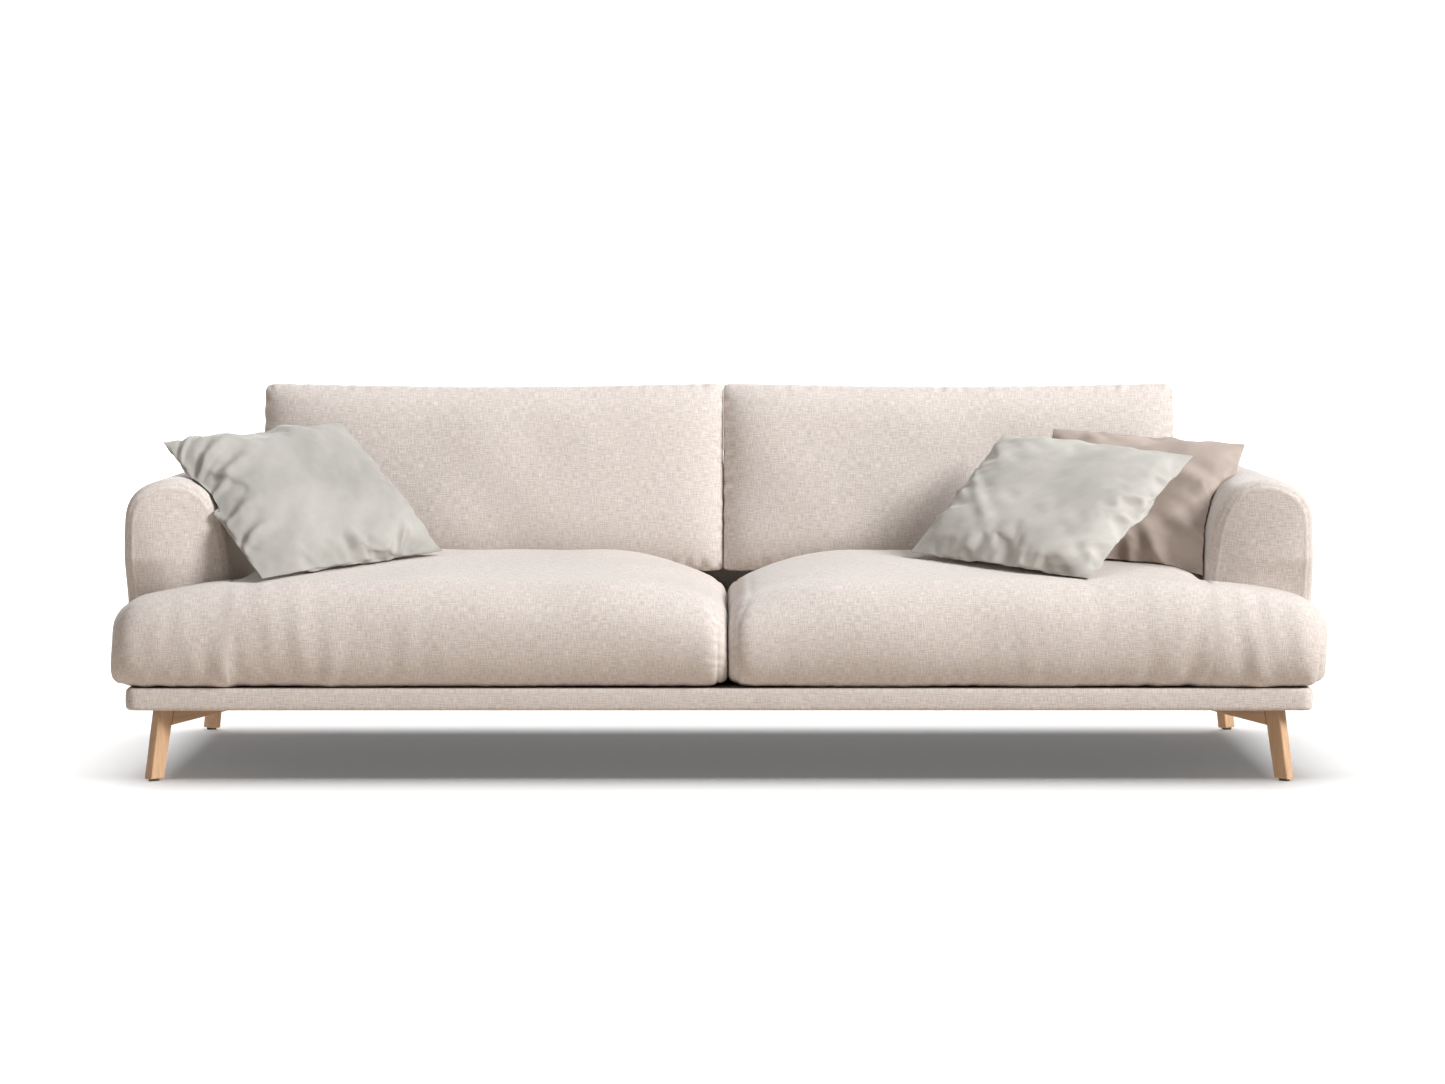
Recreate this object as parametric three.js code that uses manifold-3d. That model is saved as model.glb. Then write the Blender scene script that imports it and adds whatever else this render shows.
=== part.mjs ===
// A two-seat-cushion sofa on splayed wooden legs, with three loose throw pillows.
// Millimetres. +X runs to the right seen from the front, +Y to the back, +Z up.
// The origin is on the floor, under the middle of the sofa's overall box.
import * as THREE from "three";
import { mergeVertices } from "three/addons/utils/BufferGeometryUtils.js";
import Module from "manifold-3d";

const wasm = await Module();
wasm.setup();

// ---- Driving dimensions -------------------------------------------------------------------------
const WIDTH = 2510; // across the wings of the seat cushions
const DEPTH = 960;
const FRONT = -DEPTH / 2;
const BACK = DEPTH / 2;
const GAP = 0.3; // between pieces that touch
const LEG_HEIGHT = 148; // floor to the underside of the plinth
const LEAN = THREE.MathUtils.degToRad(12); // of the backrest and its cushions

const PLINTH = { halfWidth: 1225, front: -450, back: 470, height: 46, wall: 12, edge: 10, corner: 26 };
const RAIL = { thickness: 32, bottom: LEG_HEIGHT + 1.8, top: LEG_HEIGHT + 39 };
const DECK = { bottom: LEG_HEIGHT + 43.4, thickness: 2.4, halfWidth: 1003, back: 296 };
const UPHOLSTERY_BASE = LEG_HEIGHT + PLINTH.height + 0.5;
const SHELL_WALL = 22; // foam, wadding and fabric

const ARM = {
  inner: 1018,
  outer: 1235,
  crest: 1140,
  top: 620,
  innerSpring: 430, // where the inner face starts to round over
  outerSpring: 520,
  front: -300,
  back: 478,
};
const BACKREST = { halfWidth: 1017, frontAtBase: 300, top: 612 };

const LEG = {
  topX: 1151,
  frontTopY: -402,
  backTopY: 412,
  splay: 26, // outwards along the diagonal, from the top to the floor
  width: 38,
  footWidth: 34,
  thickness: 24,
  pad: 4,
};
const BRACKET = { length: 172, rootDepth: 35, tipDepth: 13, bolts: [32, 97] };
const BOLT = { shank: 4, hole: 4.5, head: 7, headHeight: 4, length: 46 };
const SPRINGS = { perSide: 3, spacing: 340, wire: 1.9, waves: 7, reach: 24 };

const SEAT = {
  seam: 3, // from the middle of the sofa to each cushion
  armSide: 1012,
  wing: WIDTH / 2,
  back: 292,
  wingBack: -305,
  base: UPHOLSTERY_BASE + 1,
  edgeTop: 366,
  crown: 74,
  cover: 8,
};
const CUSHION = { width: 1009, height: 424, thickness: 160, bottomY: 246, bottomZ: 384 };
const PILLOW = { side: 440, thickness: 112 };
const SMALL_PILLOW = { side: 400, thickness: 100 };

const COLOUR = {
  fabric: 0xd8cbc0,
  velvetGrey: 0xbdbbb2,
  velvetTaupe: 0xb7a699,
  beech: 0xd9b48c,
  pine: 0xd6bd92,
  birch: 0xcdb48a,
  foam: 0xeadfb4,
  steel: 0x8f9296,
  cloth: 0x2e2d2c,
  felt: 0x4b4641,
};

// ---- Materials ----------------------------------------------------------------------------------
function material(color, roughness, metalness = 0) {
  return new THREE.MeshStandardMaterial({ color, roughness, metalness });
}
const wovenFabric = material(COLOUR.fabric, 0.9);
const greyVelvet = material(COLOUR.velvetGrey, 0.7);
const taupeVelvet = material(COLOUR.velvetTaupe, 0.7);
const beech = material(COLOUR.beech, 0.45);
const pine = material(COLOUR.pine, 0.65);
const birchPly = material(COLOUR.birch, 0.6);
const foam = material(COLOUR.foam, 0.95);
const steel = material(COLOUR.steel, 0.35, 1);
const blackCloth = material(COLOUR.cloth, 0.95);
const felt = material(COLOUR.felt, 0.95);

const sofa = new THREE.Group();

function piece(name, geometry, finish, parent = sofa) {
  const mesh = new THREE.Mesh(geometry, finish);
  mesh.name = name;
  parent.add(mesh);
  return mesh;
}

// ---- Geometry helpers ---------------------------------------------------------------------------
function toSolid(geometry) {
  const bare = new THREE.BufferGeometry();
  bare.setAttribute("position", geometry.getAttribute("position").clone());
  if (geometry.index) bare.setIndex(geometry.index.clone());
  const merged = mergeVertices(bare, 1e-3);
  const mesh = new wasm.Mesh({
    numProp: 3,
    vertProperties: merged.attributes.position.array,
    triVerts: new Uint32Array(merged.index.array),
  });
  return new wasm.Manifold(mesh);
}

function toGeometry(solid) {
  const mesh = solid.getMesh();
  return new THREE.BufferGeometry()
    .setAttribute("position", new THREE.BufferAttribute(mesh.vertProperties, 3))
    .setIndex(new THREE.BufferAttribute(mesh.triVerts, 1));
}

function cut(body, ...tools) {
  return toGeometry(tools.reduce((left, tool) => left.subtract(toSolid(tool)), toSolid(body)));
}

// A box between two corners.
function block([x0, y0, z0], [x1, y1, z1]) {
  const box = new THREE.BoxGeometry(x1 - x0, y1 - y0, z1 - z0);
  return box.translate((x0 + x1) / 2, (y0 + y1) / 2, (z0 + z1) / 2);
}

// An upright cylinder from z0 to z1.
function rod(x, y, z0, z1, radius, sides = 12) {
  const cylinder = new THREE.CylinderGeometry(radius, radius, z1 - z0, sides);
  return cylinder.rotateX(Math.PI / 2).translate(x, y, (z0 + z1) / 2);
}

function polygon(points) {
  return new THREE.Shape(points.map(([a, b]) => new THREE.Vector2(a, b)));
}

// A prism of the outline, `length` long along its local Z, with its end edges rounded by `edge`.
function prism(shape, length, edge, edgeSteps = 2, curveSegments = 6) {
  return new THREE.ExtrudeGeometry(shape, {
    depth: length - 2 * edge,
    bevelEnabled: edge > 0,
    bevelThickness: edge,
    bevelSize: edge,
    bevelOffset: -edge,
    bevelSegments: edgeSteps,
    curveSegments,
  }).translate(0, 0, edge);
}

// An outline in X and Z, extruded along Y from y0 to y1.
function alongY(shape, y0, y1, edge = 0, edgeSteps = 2) {
  return prism(shape, y1 - y0, edge, edgeSteps).rotateX(Math.PI / 2).translate(0, y1, 0);
}

// An outline in Y and Z, extruded along X from x0 to x1.
function alongX(shape, x0, x1, edge = 0, edgeSteps = 2) {
  const solid = prism(shape, x1 - x0, edge, edgeSteps);
  return solid.rotateX(Math.PI / 2).rotateZ(Math.PI / 2).translate(x0, 0, 0);
}

// An outline in X and Y, extruded up from z0 to z1.
function upright(shape, z0, z1, edge = 0) {
  return prism(shape, z1 - z0, edge, 2, 4).translate(0, 0, z0);
}

// A closed skin through rings of points, all with the same number of points, fanned shut at both ends.
function loft(rings) {
  const n = rings[0].length;
  const points = rings.flat();
  const faces = [];
  for (let r = 0; r + 1 < rings.length; r++) {
    for (let i = 0; i < n; i++) {
      const [a, b] = [r * n + i, r * n + ((i + 1) % n)];
      faces.push([a, b, a + n], [b, b + n, a + n]);
    }
  }
  for (const [ring, flip] of [[0, true], [rings.length - 1, false]]) {
    const middle = rings[ring].reduce((sum, p) => sum.add(p), new THREE.Vector3()).divideScalar(n);
    const centre = points.push(middle) - 1;
    for (let i = 0; i < n; i++) {
      const [a, b] = [ring * n + i, ring * n + ((i + 1) % n)];
      faces.push(flip ? [b, a, centre] : [a, b, centre]);
    }
  }
  const geometry = new THREE.BufferGeometry().setFromPoints(points).setIndex(faces.flat());
  if (toSolid(geometry).volume() < 0) geometry.setIndex(faces.map(([a, b, c]) => [a, c, b]).flat());
  return geometry;
}

// ---- Base: rails, springs, deck and plinth --------------------------------------------------------
const ring = {
  x: PLINTH.halfWidth - PLINTH.wall - GAP,
  front: PLINTH.front + PLINTH.wall + GAP,
  back: PLINTH.back - PLINTH.wall - GAP,
};

function roundedRectangle(x, y0, y1, radius) {
  const shape = new THREE.Shape();
  shape.absarc(x - radius, y0 + radius, radius, -Math.PI / 2, 0);
  shape.absarc(x - radius, y1 - radius, radius, 0, Math.PI / 2);
  shape.absarc(-x + radius, y1 - radius, radius, Math.PI / 2, Math.PI);
  shape.absarc(-x + radius, y0 + radius, radius, Math.PI, 1.5 * Math.PI);
  return shape.closePath();
}

function base() {
  const { x, front, back } = ring;
  const { thickness, bottom, top } = RAIL;
  const inFront = front + thickness + GAP;
  const inBack = back - thickness - GAP;
  piece("frame_front_rail", block([-x, front, bottom], [x, front + thickness, top]), pine);
  piece("frame_rear_rail", block([-x, back - thickness, bottom], [x, back, top]), pine);
  piece("frame_left_rail", block([-x, inFront, bottom], [-x + thickness, inBack, top]), pine);
  piece("frame_right_rail", block([x - thickness, inFront, bottom], [x, inBack, top]), pine);
  piece("frame_centre_rail", block([-22, inFront, bottom], [22, inBack, top]), pine);

  const outline = roundedRectangle(PLINTH.halfWidth, PLINTH.front, PLINTH.back, PLINTH.corner);
  const whole = upright(outline, LEG_HEIGHT, LEG_HEIGHT + PLINTH.height, PLINTH.edge);
  const inside = block([-x - GAP, front - GAP, 0], [x + GAP, back + GAP, 300]);
  piece("plinth_cover", cut(whole, inside), wovenFabric);
}

// The seat platform follows the cushions: full width in front of the arms, narrower between them.
function deckCloth() {
  const { halfWidth, back, bottom, thickness } = DECK;
  const notch = ARM.front - 6;
  const right = [[ring.x, ring.front], [ring.x, notch], [halfWidth, notch], [halfWidth, back]];
  const left = right.map(([x, y]) => [-x, y]).reverse();
  piece("seat_deck_cloth", upright(polygon([...right, ...left]), bottom, bottom + thickness), blackCloth);
}

// A sinuous spring: a flat zigzag of wire from the front rail to the rear rail.
class ZigzagWire extends THREE.Curve {
  constructor(x, y0, y1, z) {
    super();
    Object.assign(this, { x, y0, y1, z });
  }
  getPoint(t, target = new THREE.Vector3()) {
    const swing = Math.sin(t * SPRINGS.waves * 2 * Math.PI);
    return target.set(this.x + SPRINGS.reach * swing, this.y0 + t * (this.y1 - this.y0), this.z);
  }
}

function springs() {
  const { perSide, spacing, wire, waves } = SPRINGS;
  const section = new THREE.Shape().absarc(0, 0, wire, 0, 2 * Math.PI);
  const options = { steps: waves * 6, bevelEnabled: false, curveSegments: 2 };
  for (let i = 0; i < 2 * perSide; i++) {
    const x = (i - perSide + 0.5) * spacing;
    const path = new ZigzagWire(x, ring.front + 8, ring.back - RAIL.thickness + 4, RAIL.top + wire + GAP);
    const wireSolid = new THREE.ExtrudeGeometry(section, { ...options, extrudePath: path });
    piece(`sinuous_spring_${i + 1}`, wireSolid, steel);
  }
}

// ---- Legs ---------------------------------------------------------------------------------------
// Each leg is a plank splayed outwards along its corner's diagonal, glued to a tapered bracket that runs
// inwards under the frame. A leg's group has +X along that diagonal, and the post's top is over its origin.
function leg(name, sideX, sideY) {
  const group = new THREE.Group();
  group.position.set(sideX * LEG.topX, sideY < 0 ? LEG.frontTopY : LEG.backTopY, 0);
  group.rotation.z = Math.atan2(sideY, sideX);
  sofa.add(group);

  const top = LEG_HEIGHT - GAP;
  const half = LEG.width / 2;
  const footHalf = LEG.footWidth / 2;
  const bottom = LEG.pad + GAP;
  const centreAt = (z) => (LEG.splay * (top - z)) / top;
  const innerAt = (z) => centreAt(z) - half + ((half - footHalf) * (top - z)) / (top - bottom);
  const foot = [[innerAt(bottom), bottom], [centreAt(bottom) + footHalf, bottom]];
  const post = alongY(polygon([...foot, [half, top], [-half, top]]), -LEG.thickness / 2, LEG.thickness / 2, 3);
  piece(`leg_post_${name}`, post, beech, group);

  const { length, rootDepth, tipDepth, bolts } = BRACKET;
  const rootZ = top - rootDepth;
  const tip = -half - length;
  const under = (u) => rootZ + ((innerAt(rootZ) - u) / (innerAt(rootZ) - tip)) * (rootDepth - tipDepth);
  const profile = [[-half - GAP, top], [tip, top], [tip, top - tipDepth], [innerAt(rootZ) - GAP, rootZ]];
  const bar = alongY(polygon(profile), -LEG.thickness / 2, LEG.thickness / 2, 2);
  const boltAt = bolts.map((distance) => -half - distance);
  const seatTop = (u) => under(u) + 2 + BOLT.headHeight;
  const holes = boltAt.map((u) => rod(u, 0, 0, LEG_HEIGHT + 1, BOLT.hole));
  const counterbores = boltAt.map((u) => rod(u, 0, 0, seatTop(u), BOLT.head + 1));
  piece(`leg_bracket_${name}`, cut(bar, ...holes, ...counterbores), beech, group);

  boltAt.forEach((u, i) => {
    const headTop = seatTop(u) - GAP;
    const head = rod(u, 0, headTop - BOLT.headHeight, headTop, BOLT.head, 6);
    const shank = rod(u, 0, headTop - 1, headTop + BOLT.length, BOLT.shank);
    piece(`leg_bolt_${name}_${i + 1}`, toGeometry(toSolid(head).add(toSolid(shank))), steel, group);
  });
  piece(`foot_pad_${name}`, rod(centreAt(0), 0, 0, LEG.pad, 11, 16), felt, group);
  group.updateMatrixWorld(true);
  return boltAt.map((u) => rod(u, 0, 0, 300, BOLT.hole).applyMatrix4(group.matrixWorld));
}

// A block glued into each corner of the frame, which that leg's bolts screw into.
function cornerBlock(name, sideX, sideY, holes) {
  const cornerX = ring.x - RAIL.thickness - GAP;
  const cornerY = (sideY < 0 ? -ring.front : ring.back) - RAIL.thickness - 2 * GAP;
  const [long, short] = [240, 30];
  const outline = [
    [cornerX, cornerY], [cornerX - long, cornerY], [cornerX - long, cornerY - short],
    [cornerX - short, cornerY - long], [cornerX, cornerY - long],
  ];
  const plan = polygon(outline.map(([x, y]) => [sideX * x, sideY * y]));
  piece(`corner_block_${name}`, cut(upright(plan, RAIL.bottom, RAIL.top), ...holes), pine);
}

function legs() {
  const corners = { front_left: [-1, -1], front_right: [1, -1], rear_left: [-1, 1], rear_right: [1, 1] };
  const holes = [];
  for (const [name, [sideX, sideY]] of Object.entries(corners)) {
    const legHoles = leg(name, sideX, sideY);
    cornerBlock(name, sideX, sideY, legHoles);
    holes.push(...legHoles);
  }
  const sheet = block([-ring.x, ring.front, LEG_HEIGHT], [ring.x, ring.back, LEG_HEIGHT + 1.5]);
  piece("dust_cover", cut(sheet, ...holes), blackCloth);
}

// ---- Arms ---------------------------------------------------------------------------------------
// The right arm's outline seen from the front, moved inwards by `inset` and cut off flat at `base`.
function armOutline(inset, base) {
  const { crest, innerSpring, outerSpring } = ARM;
  const [x0, x1, top] = [ARM.inner + inset, ARM.outer - inset, ARM.top - inset];
  const shape = new THREE.Shape();
  shape.moveTo(x0, base);
  shape.lineTo(x1, base);
  shape.lineTo(x1, outerSpring);
  shape.absellipse(crest, outerSpring, x1 - crest, top - outerSpring, 0, Math.PI / 2);
  shape.absellipse(crest, innerSpring, crest - x0, top - innerSpring, Math.PI / 2, Math.PI);
  return shape.closePath();
}

function arm(side, sign) {
  const place = (name, geometry, finish) => {
    const faced = sign > 0 ? geometry : toGeometry(toSolid(geometry).mirror([1, 0, 0]));
    piece(`${name}_${side}`, faced, finish);
  };
  const outer = alongY(armOutline(0, UPHOLSTERY_BASE), ARM.front, ARM.back, 16, 3);
  const hollowOutline = armOutline(SHELL_WALL, UPHOLSTERY_BASE - 10);
  const hollow = alongY(hollowOutline, ARM.front + SHELL_WALL, ARM.back - SHELL_WALL);
  place("arm_upholstery", cut(outer, hollow), wovenFabric);

  const boardThickness = 18;
  const board = armOutline(SHELL_WALL + GAP, RAIL.top + GAP);
  const frontFace = ARM.front + SHELL_WALL + GAP;
  const rearFace = ARM.back - SHELL_WALL - GAP;
  place("arm_front_board", alongY(board, frontFace, frontFace + boardThickness), birchPly);
  place("arm_rear_board", alongY(board, rearFace - boardThickness, rearFace), birchPly);
  const railTop = ARM.top - SHELL_WALL - 10;
  const [y0, y1] = [frontFace + boardThickness + GAP, rearFace - boardThickness - GAP];
  place("arm_top_rail", block([ARM.crest - 24, y0, railTop - 45], [ARM.crest + 24, y1, railTop]), pine);
}

// ---- Backrest -----------------------------------------------------------------------------------
// The backrest seen from its left end: upright behind, leaning in front, moved inwards by `inset`.
function backrestProfile(inset, base) {
  const { frontAtBase, top } = BACKREST;
  const frontAt = (z) => frontAtBase + (z - UPHOLSTERY_BASE) * Math.tan(LEAN) + inset / Math.cos(LEAN);
  const rear = BACK - inset;
  const crest = top - inset;
  return polygon([
    [frontAt(base), base], [rear, base], [rear, crest - 16], [rear - 5, crest - 5], [rear - 16, crest],
    [frontAt(crest) + 22, crest], [frontAt(crest) + 7, crest - 5], [frontAt(crest - 20), crest - 20],
  ]);
}

function backrest() {
  const { halfWidth, top } = BACKREST;
  const outer = alongX(backrestProfile(0, UPHOLSTERY_BASE), -halfWidth, halfWidth, 4);
  const hollowEnd = halfWidth - SHELL_WALL;
  const hollow = alongX(backrestProfile(SHELL_WALL, UPHOLSTERY_BASE - 10), -hollowEnd, hollowEnd);
  piece("backrest_upholstery", cut(outer, hollow), wovenFabric);

  const [y0, y1] = [ring.back - 45, ring.back - 1];
  const railTop = top - SHELL_WALL - 18;
  const railBottom = railTop - 34;
  const posts = { left: -948, centre: 0, right: 948 };
  for (const [name, x] of Object.entries(posts)) {
    const post = block([x - 24, y0, RAIL.top + GAP + 5], [x + 24, y1, railBottom - GAP]);
    piece(`back_post_${name}`, post, pine);
  }
  piece("back_top_rail", block([-hollowEnd + 6, y0, railBottom], [hollowEnd - 6, y1, railTop]), pine);
}

// ---- Seat cushions ------------------------------------------------------------------------------
const clamp01 = (t) => Math.min(1, Math.max(0, t));

// How much of the crown is left at a distance from the cushion's end: it falls away over the last 300 mm.
const crownShare = (distance) => 1 - Math.pow(1 - clamp01(distance / 300), 2.2);

// A T-shaped cushion lofted along X from the middle seam to its wing in front of the arm, moved inwards
// by `inset`. Its top swells between the arms and dips where the back cushion stands on it.
function seatSolid(sign, inset) {
  const { seam, armSide, wing, back, wingBack, base, edgeTop, crown } = SEAT;
  const inner = seam + inset;
  const bodyEnd = armSide - inset;
  const wingTip = wing - inset;
  const bodyStations = [
    [inner, 30], [inner + 9, 11], [inner + 30, 0], [84, 0], [170, 0], [300, 0], [500, 0], [700, 0], [865, 0],
    [960, 0], [bodyEnd, 4],
  ];
  const wingStations = [
    [bodyEnd + 3, 0], [1090, 0], [1165, 0], [wingTip - 30, 0], [wingTip - 9, 11], [wingTip, 30],
  ];
  const stationRing = ([x, round], isWing) => {
    const y0 = FRONT + inset + round;
    const y1 = (isWing ? wingBack : back) - inset - round;
    const bottom = base + inset + round;
    const swell = crown * crownShare(x - seam) * crownShare(armSide + 180 - x);
    const wingTop = 407 - (31 * (x - 1040)) / 190;
    const lower = (z) => z - inset - round;
    const edge = lower(isWing ? wingTop - 6 : edgeTop + swell * 0.6);
    const depthAt = isWing ? [0.62, 0.8] : [0.62, 0.76];
    const topZ = isWing ? [wingTop, wingTop - 2] : [edgeTop + swell, edgeTop + swell * 0.5];
    const tailTop = lower(isWing ? wingTop - 8 : edgeTop + 6);
    const nose = Math.min(80, 0.55 * (y1 - y0));
    const halfHeight = (edge - bottom) / 2;
    const points = [];
    for (let i = 0; i <= 6; i++) {
      const a = -Math.PI / 2 - (Math.PI * i) / 6;
      points.push([y0 + nose + nose * Math.cos(a), bottom + halfHeight * (1 + Math.sin(a))]);
    }
    depthAt.forEach((share, i) => points.push([y0 + share * (y1 - y0), lower(topZ[i])]));
    const tail = 22;
    points.push([y1 - tail, tailTop], [y1, tailTop - tail], [y1, bottom + tail], [y1 - tail, bottom]);
    points.push([y0 + 0.6 * (y1 - y0), bottom]);
    return points.map(([y, z]) => new THREE.Vector3(sign * x, y, z));
  };
  const body = bodyStations.map((station) => stationRing(station, false));
  return loft([...body, ...wingStations.map((station) => stationRing(station, true))]);
}

function seatCushion(name, sign) {
  const { cover, back } = SEAT;
  const [x0, x1] = sign > 0 ? [120, 880] : [-880, -120];
  const zipMouth = block([x0, back - 40, 280], [x1, back + 10, 290]);
  piece(`seat_cover_${name}`, cut(seatSolid(sign, 0), seatSolid(sign, cover), zipMouth), wovenFabric);
  piece(`seat_foam_${name}`, seatSolid(sign, cover + 12), foam);
}

// ---- Back cushions ------------------------------------------------------------------------------
// Lofted along X in the cushion's own frame, which leans back with the backrest.
function backCushion(name, sign) {
  const { width, height, thickness, bottomY, bottomZ } = CUSHION;
  const half = thickness / 2;
  const ends = [[0, 40], [10, 16], [40, 0], [140, 0], [300, 0]];
  const mirrored = ends.map(([x, round]) => [width - x, round]).reverse();
  const rings = [...ends, [width / 2, 0], ...mirrored].map(([x, round]) => {
    const plump = 0.82 + 0.18 * crownShare(Math.min(x, width - x) * 1.3);
    const front = (half - round * 0.7) * plump;
    const rear = half - 6 - round * 0.7;
    const bottom = round * 0.5;
    const top = height - round * 0.35 - 8 * Math.sin((Math.PI * x) / width);
    const points = [
      [-front * 0.55, bottom + 2], [-front * 0.86, bottom + 40], [-front, bottom + 130], [-front, top - 150],
      [-front * 0.84, top - 48], [-front * 0.5, top - 10], [0, top], [rear * 0.55, top - 12],
      [rear * 0.9, top - 60], [rear, top - 140], [rear, bottom + 60], [rear * 0.7, bottom + 8], [0, bottom],
    ];
    return points.map(([y, z]) => new THREE.Vector3(x, y, z));
  });
  const holder = new THREE.Group();
  holder.position.set(sign > 0 ? SEAT.seam + 1 : -SEAT.seam - 1 - width, bottomY, bottomZ);
  holder.rotation.x = -LEAN;
  sofa.add(holder);
  piece(`back_cushion_${name}`, loft(rings), wovenFabric, holder);
}

// ---- Throw pillows ------------------------------------------------------------------------------
// A square pillow: two crowned faces that meet at its seam, with edges that pull in between the corners.
function pillowGeometry({ side, thickness }) {
  const cells = 8;
  const points = [];
  const index = (i, j, face) => (face * (cells + 1) + j) * (cells + 1) + i;
  const pull = (a, b) => a * (1 - 0.045 * (1 - b * b) * a * a);
  for (const face of [1, -1]) {
    for (let j = 0; j <= cells; j++) {
      for (let i = 0; i <= cells; i++) {
        const [u, v] = [(2 * i) / cells - 1, (2 * j) / cells - 1];
        const puff = Math.pow((1 - u ** 4) * (1 - v ** 4), 0.6);
        const [x, y] = [(pull(u, v) * side) / 2, (pull(v, u) * side) / 2];
        points.push(new THREE.Vector3(x, y, face * puff * thickness * 0.5));
      }
    }
  }
  const faces = [];
  for (let j = 0; j < cells; j++) {
    for (let i = 0; i < cells; i++) {
      for (const face of [0, 1]) {
        const [a, b] = [index(i, j, face), index(i + 1, j, face)];
        const [c, d] = [index(i + 1, j + 1, face), index(i, j + 1, face)];
        faces.push(...(face ? [a, c, b, a, d, c] : [a, b, c, a, c, d]));
      }
    }
  }
  return mergeVertices(new THREE.BufferGeometry().setFromPoints(points).setIndex(faces), 1e-3);
}

// Places a pillow by its middle, the way it faces, and the run of its top edge.
function pillow(name, size, finish, middle, facing, topEdge) {
  const mesh = piece(name, pillowGeometry(size), finish);
  const normal = new THREE.Vector3(...facing).normalize();
  const along = new THREE.Vector3(...topEdge);
  along.addScaledVector(normal, -along.dot(normal)).normalize();
  const up = new THREE.Vector3().crossVectors(normal, along);
  mesh.setRotationFromMatrix(new THREE.Matrix4().makeBasis(along, up, normal));
  mesh.position.set(...middle);
}

function pillows() {
  const small = SMALL_PILLOW;
  const large = PILLOW;
  pillow("pillow_left", large, greyVelvet, [-877, -92, 574], [0.416, -0.458, 0.786], [347, 367, 30]);
  pillow("pillow_right_rear", small, taupeVelvet, [853, 22, 580], [-0.15, -0.66, 0.74], [406, -100, -20]);
  pillow("pillow_right_front", large, greyVelvet, [706, -148, 576], [-0.27, -0.503, 0.821], [390, -250, -25]);
}

base();
deckCloth();
springs();
legs();
arm("left", -1);
arm("right", 1);
backrest();
seatCushion("left", -1);
seatCushion("right", 1);
backCushion("left", -1);
backCushion("right", 1);
pillows();

export default sofa;
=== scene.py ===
"""Dresses a two-seat sofa: upholstery, loose cushions, throw pillows and splayed wooden legs."""

import logging
import math
from dataclasses import dataclass
from enum import Enum

import bmesh
import bpy
import numpy as np
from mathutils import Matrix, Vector


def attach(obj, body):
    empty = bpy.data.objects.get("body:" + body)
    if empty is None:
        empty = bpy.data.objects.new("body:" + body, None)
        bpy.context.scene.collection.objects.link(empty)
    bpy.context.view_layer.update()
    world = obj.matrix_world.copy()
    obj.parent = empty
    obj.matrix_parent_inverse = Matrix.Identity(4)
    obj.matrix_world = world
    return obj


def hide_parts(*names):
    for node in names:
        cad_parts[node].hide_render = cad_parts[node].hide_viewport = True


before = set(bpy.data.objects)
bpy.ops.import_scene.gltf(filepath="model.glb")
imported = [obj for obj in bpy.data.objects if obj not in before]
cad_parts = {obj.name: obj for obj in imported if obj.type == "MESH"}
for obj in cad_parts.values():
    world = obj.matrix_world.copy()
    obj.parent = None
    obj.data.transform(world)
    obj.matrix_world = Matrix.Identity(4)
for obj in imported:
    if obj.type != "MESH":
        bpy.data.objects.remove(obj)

log = logging.getLogger("sofa")
Array = np.ndarray
LEAN = math.radians(12)  # How far the backrest and the back cushions lean back.
TINY = 1e-12  # Keeps a division by a length safe.


class Side(Enum):
    """Left and right as seen from the front."""

    LEFT = -1
    RIGHT = 1

    @property
    def label(self) -> str:
        """The side's name in piece names."""
        return self.name.lower()


class Body(Enum):
    """The bodies that pieces ride on."""

    FRAME = "frame"
    SEAT_LEFT = "seat_cushion_left"
    SEAT_RIGHT = "seat_cushion_right"
    BACK_LEFT = "back_cushion_left_body"
    BACK_RIGHT = "back_cushion_right_body"
    PILLOW_LEFT = "throw_pillow_left"
    PILLOW_RIGHT_REAR = "throw_pillow_right_rear"
    PILLOW_RIGHT_FRONT = "throw_pillow_right_front"


# ---- Materials ------------------------------------------------------------------------------------


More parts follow.
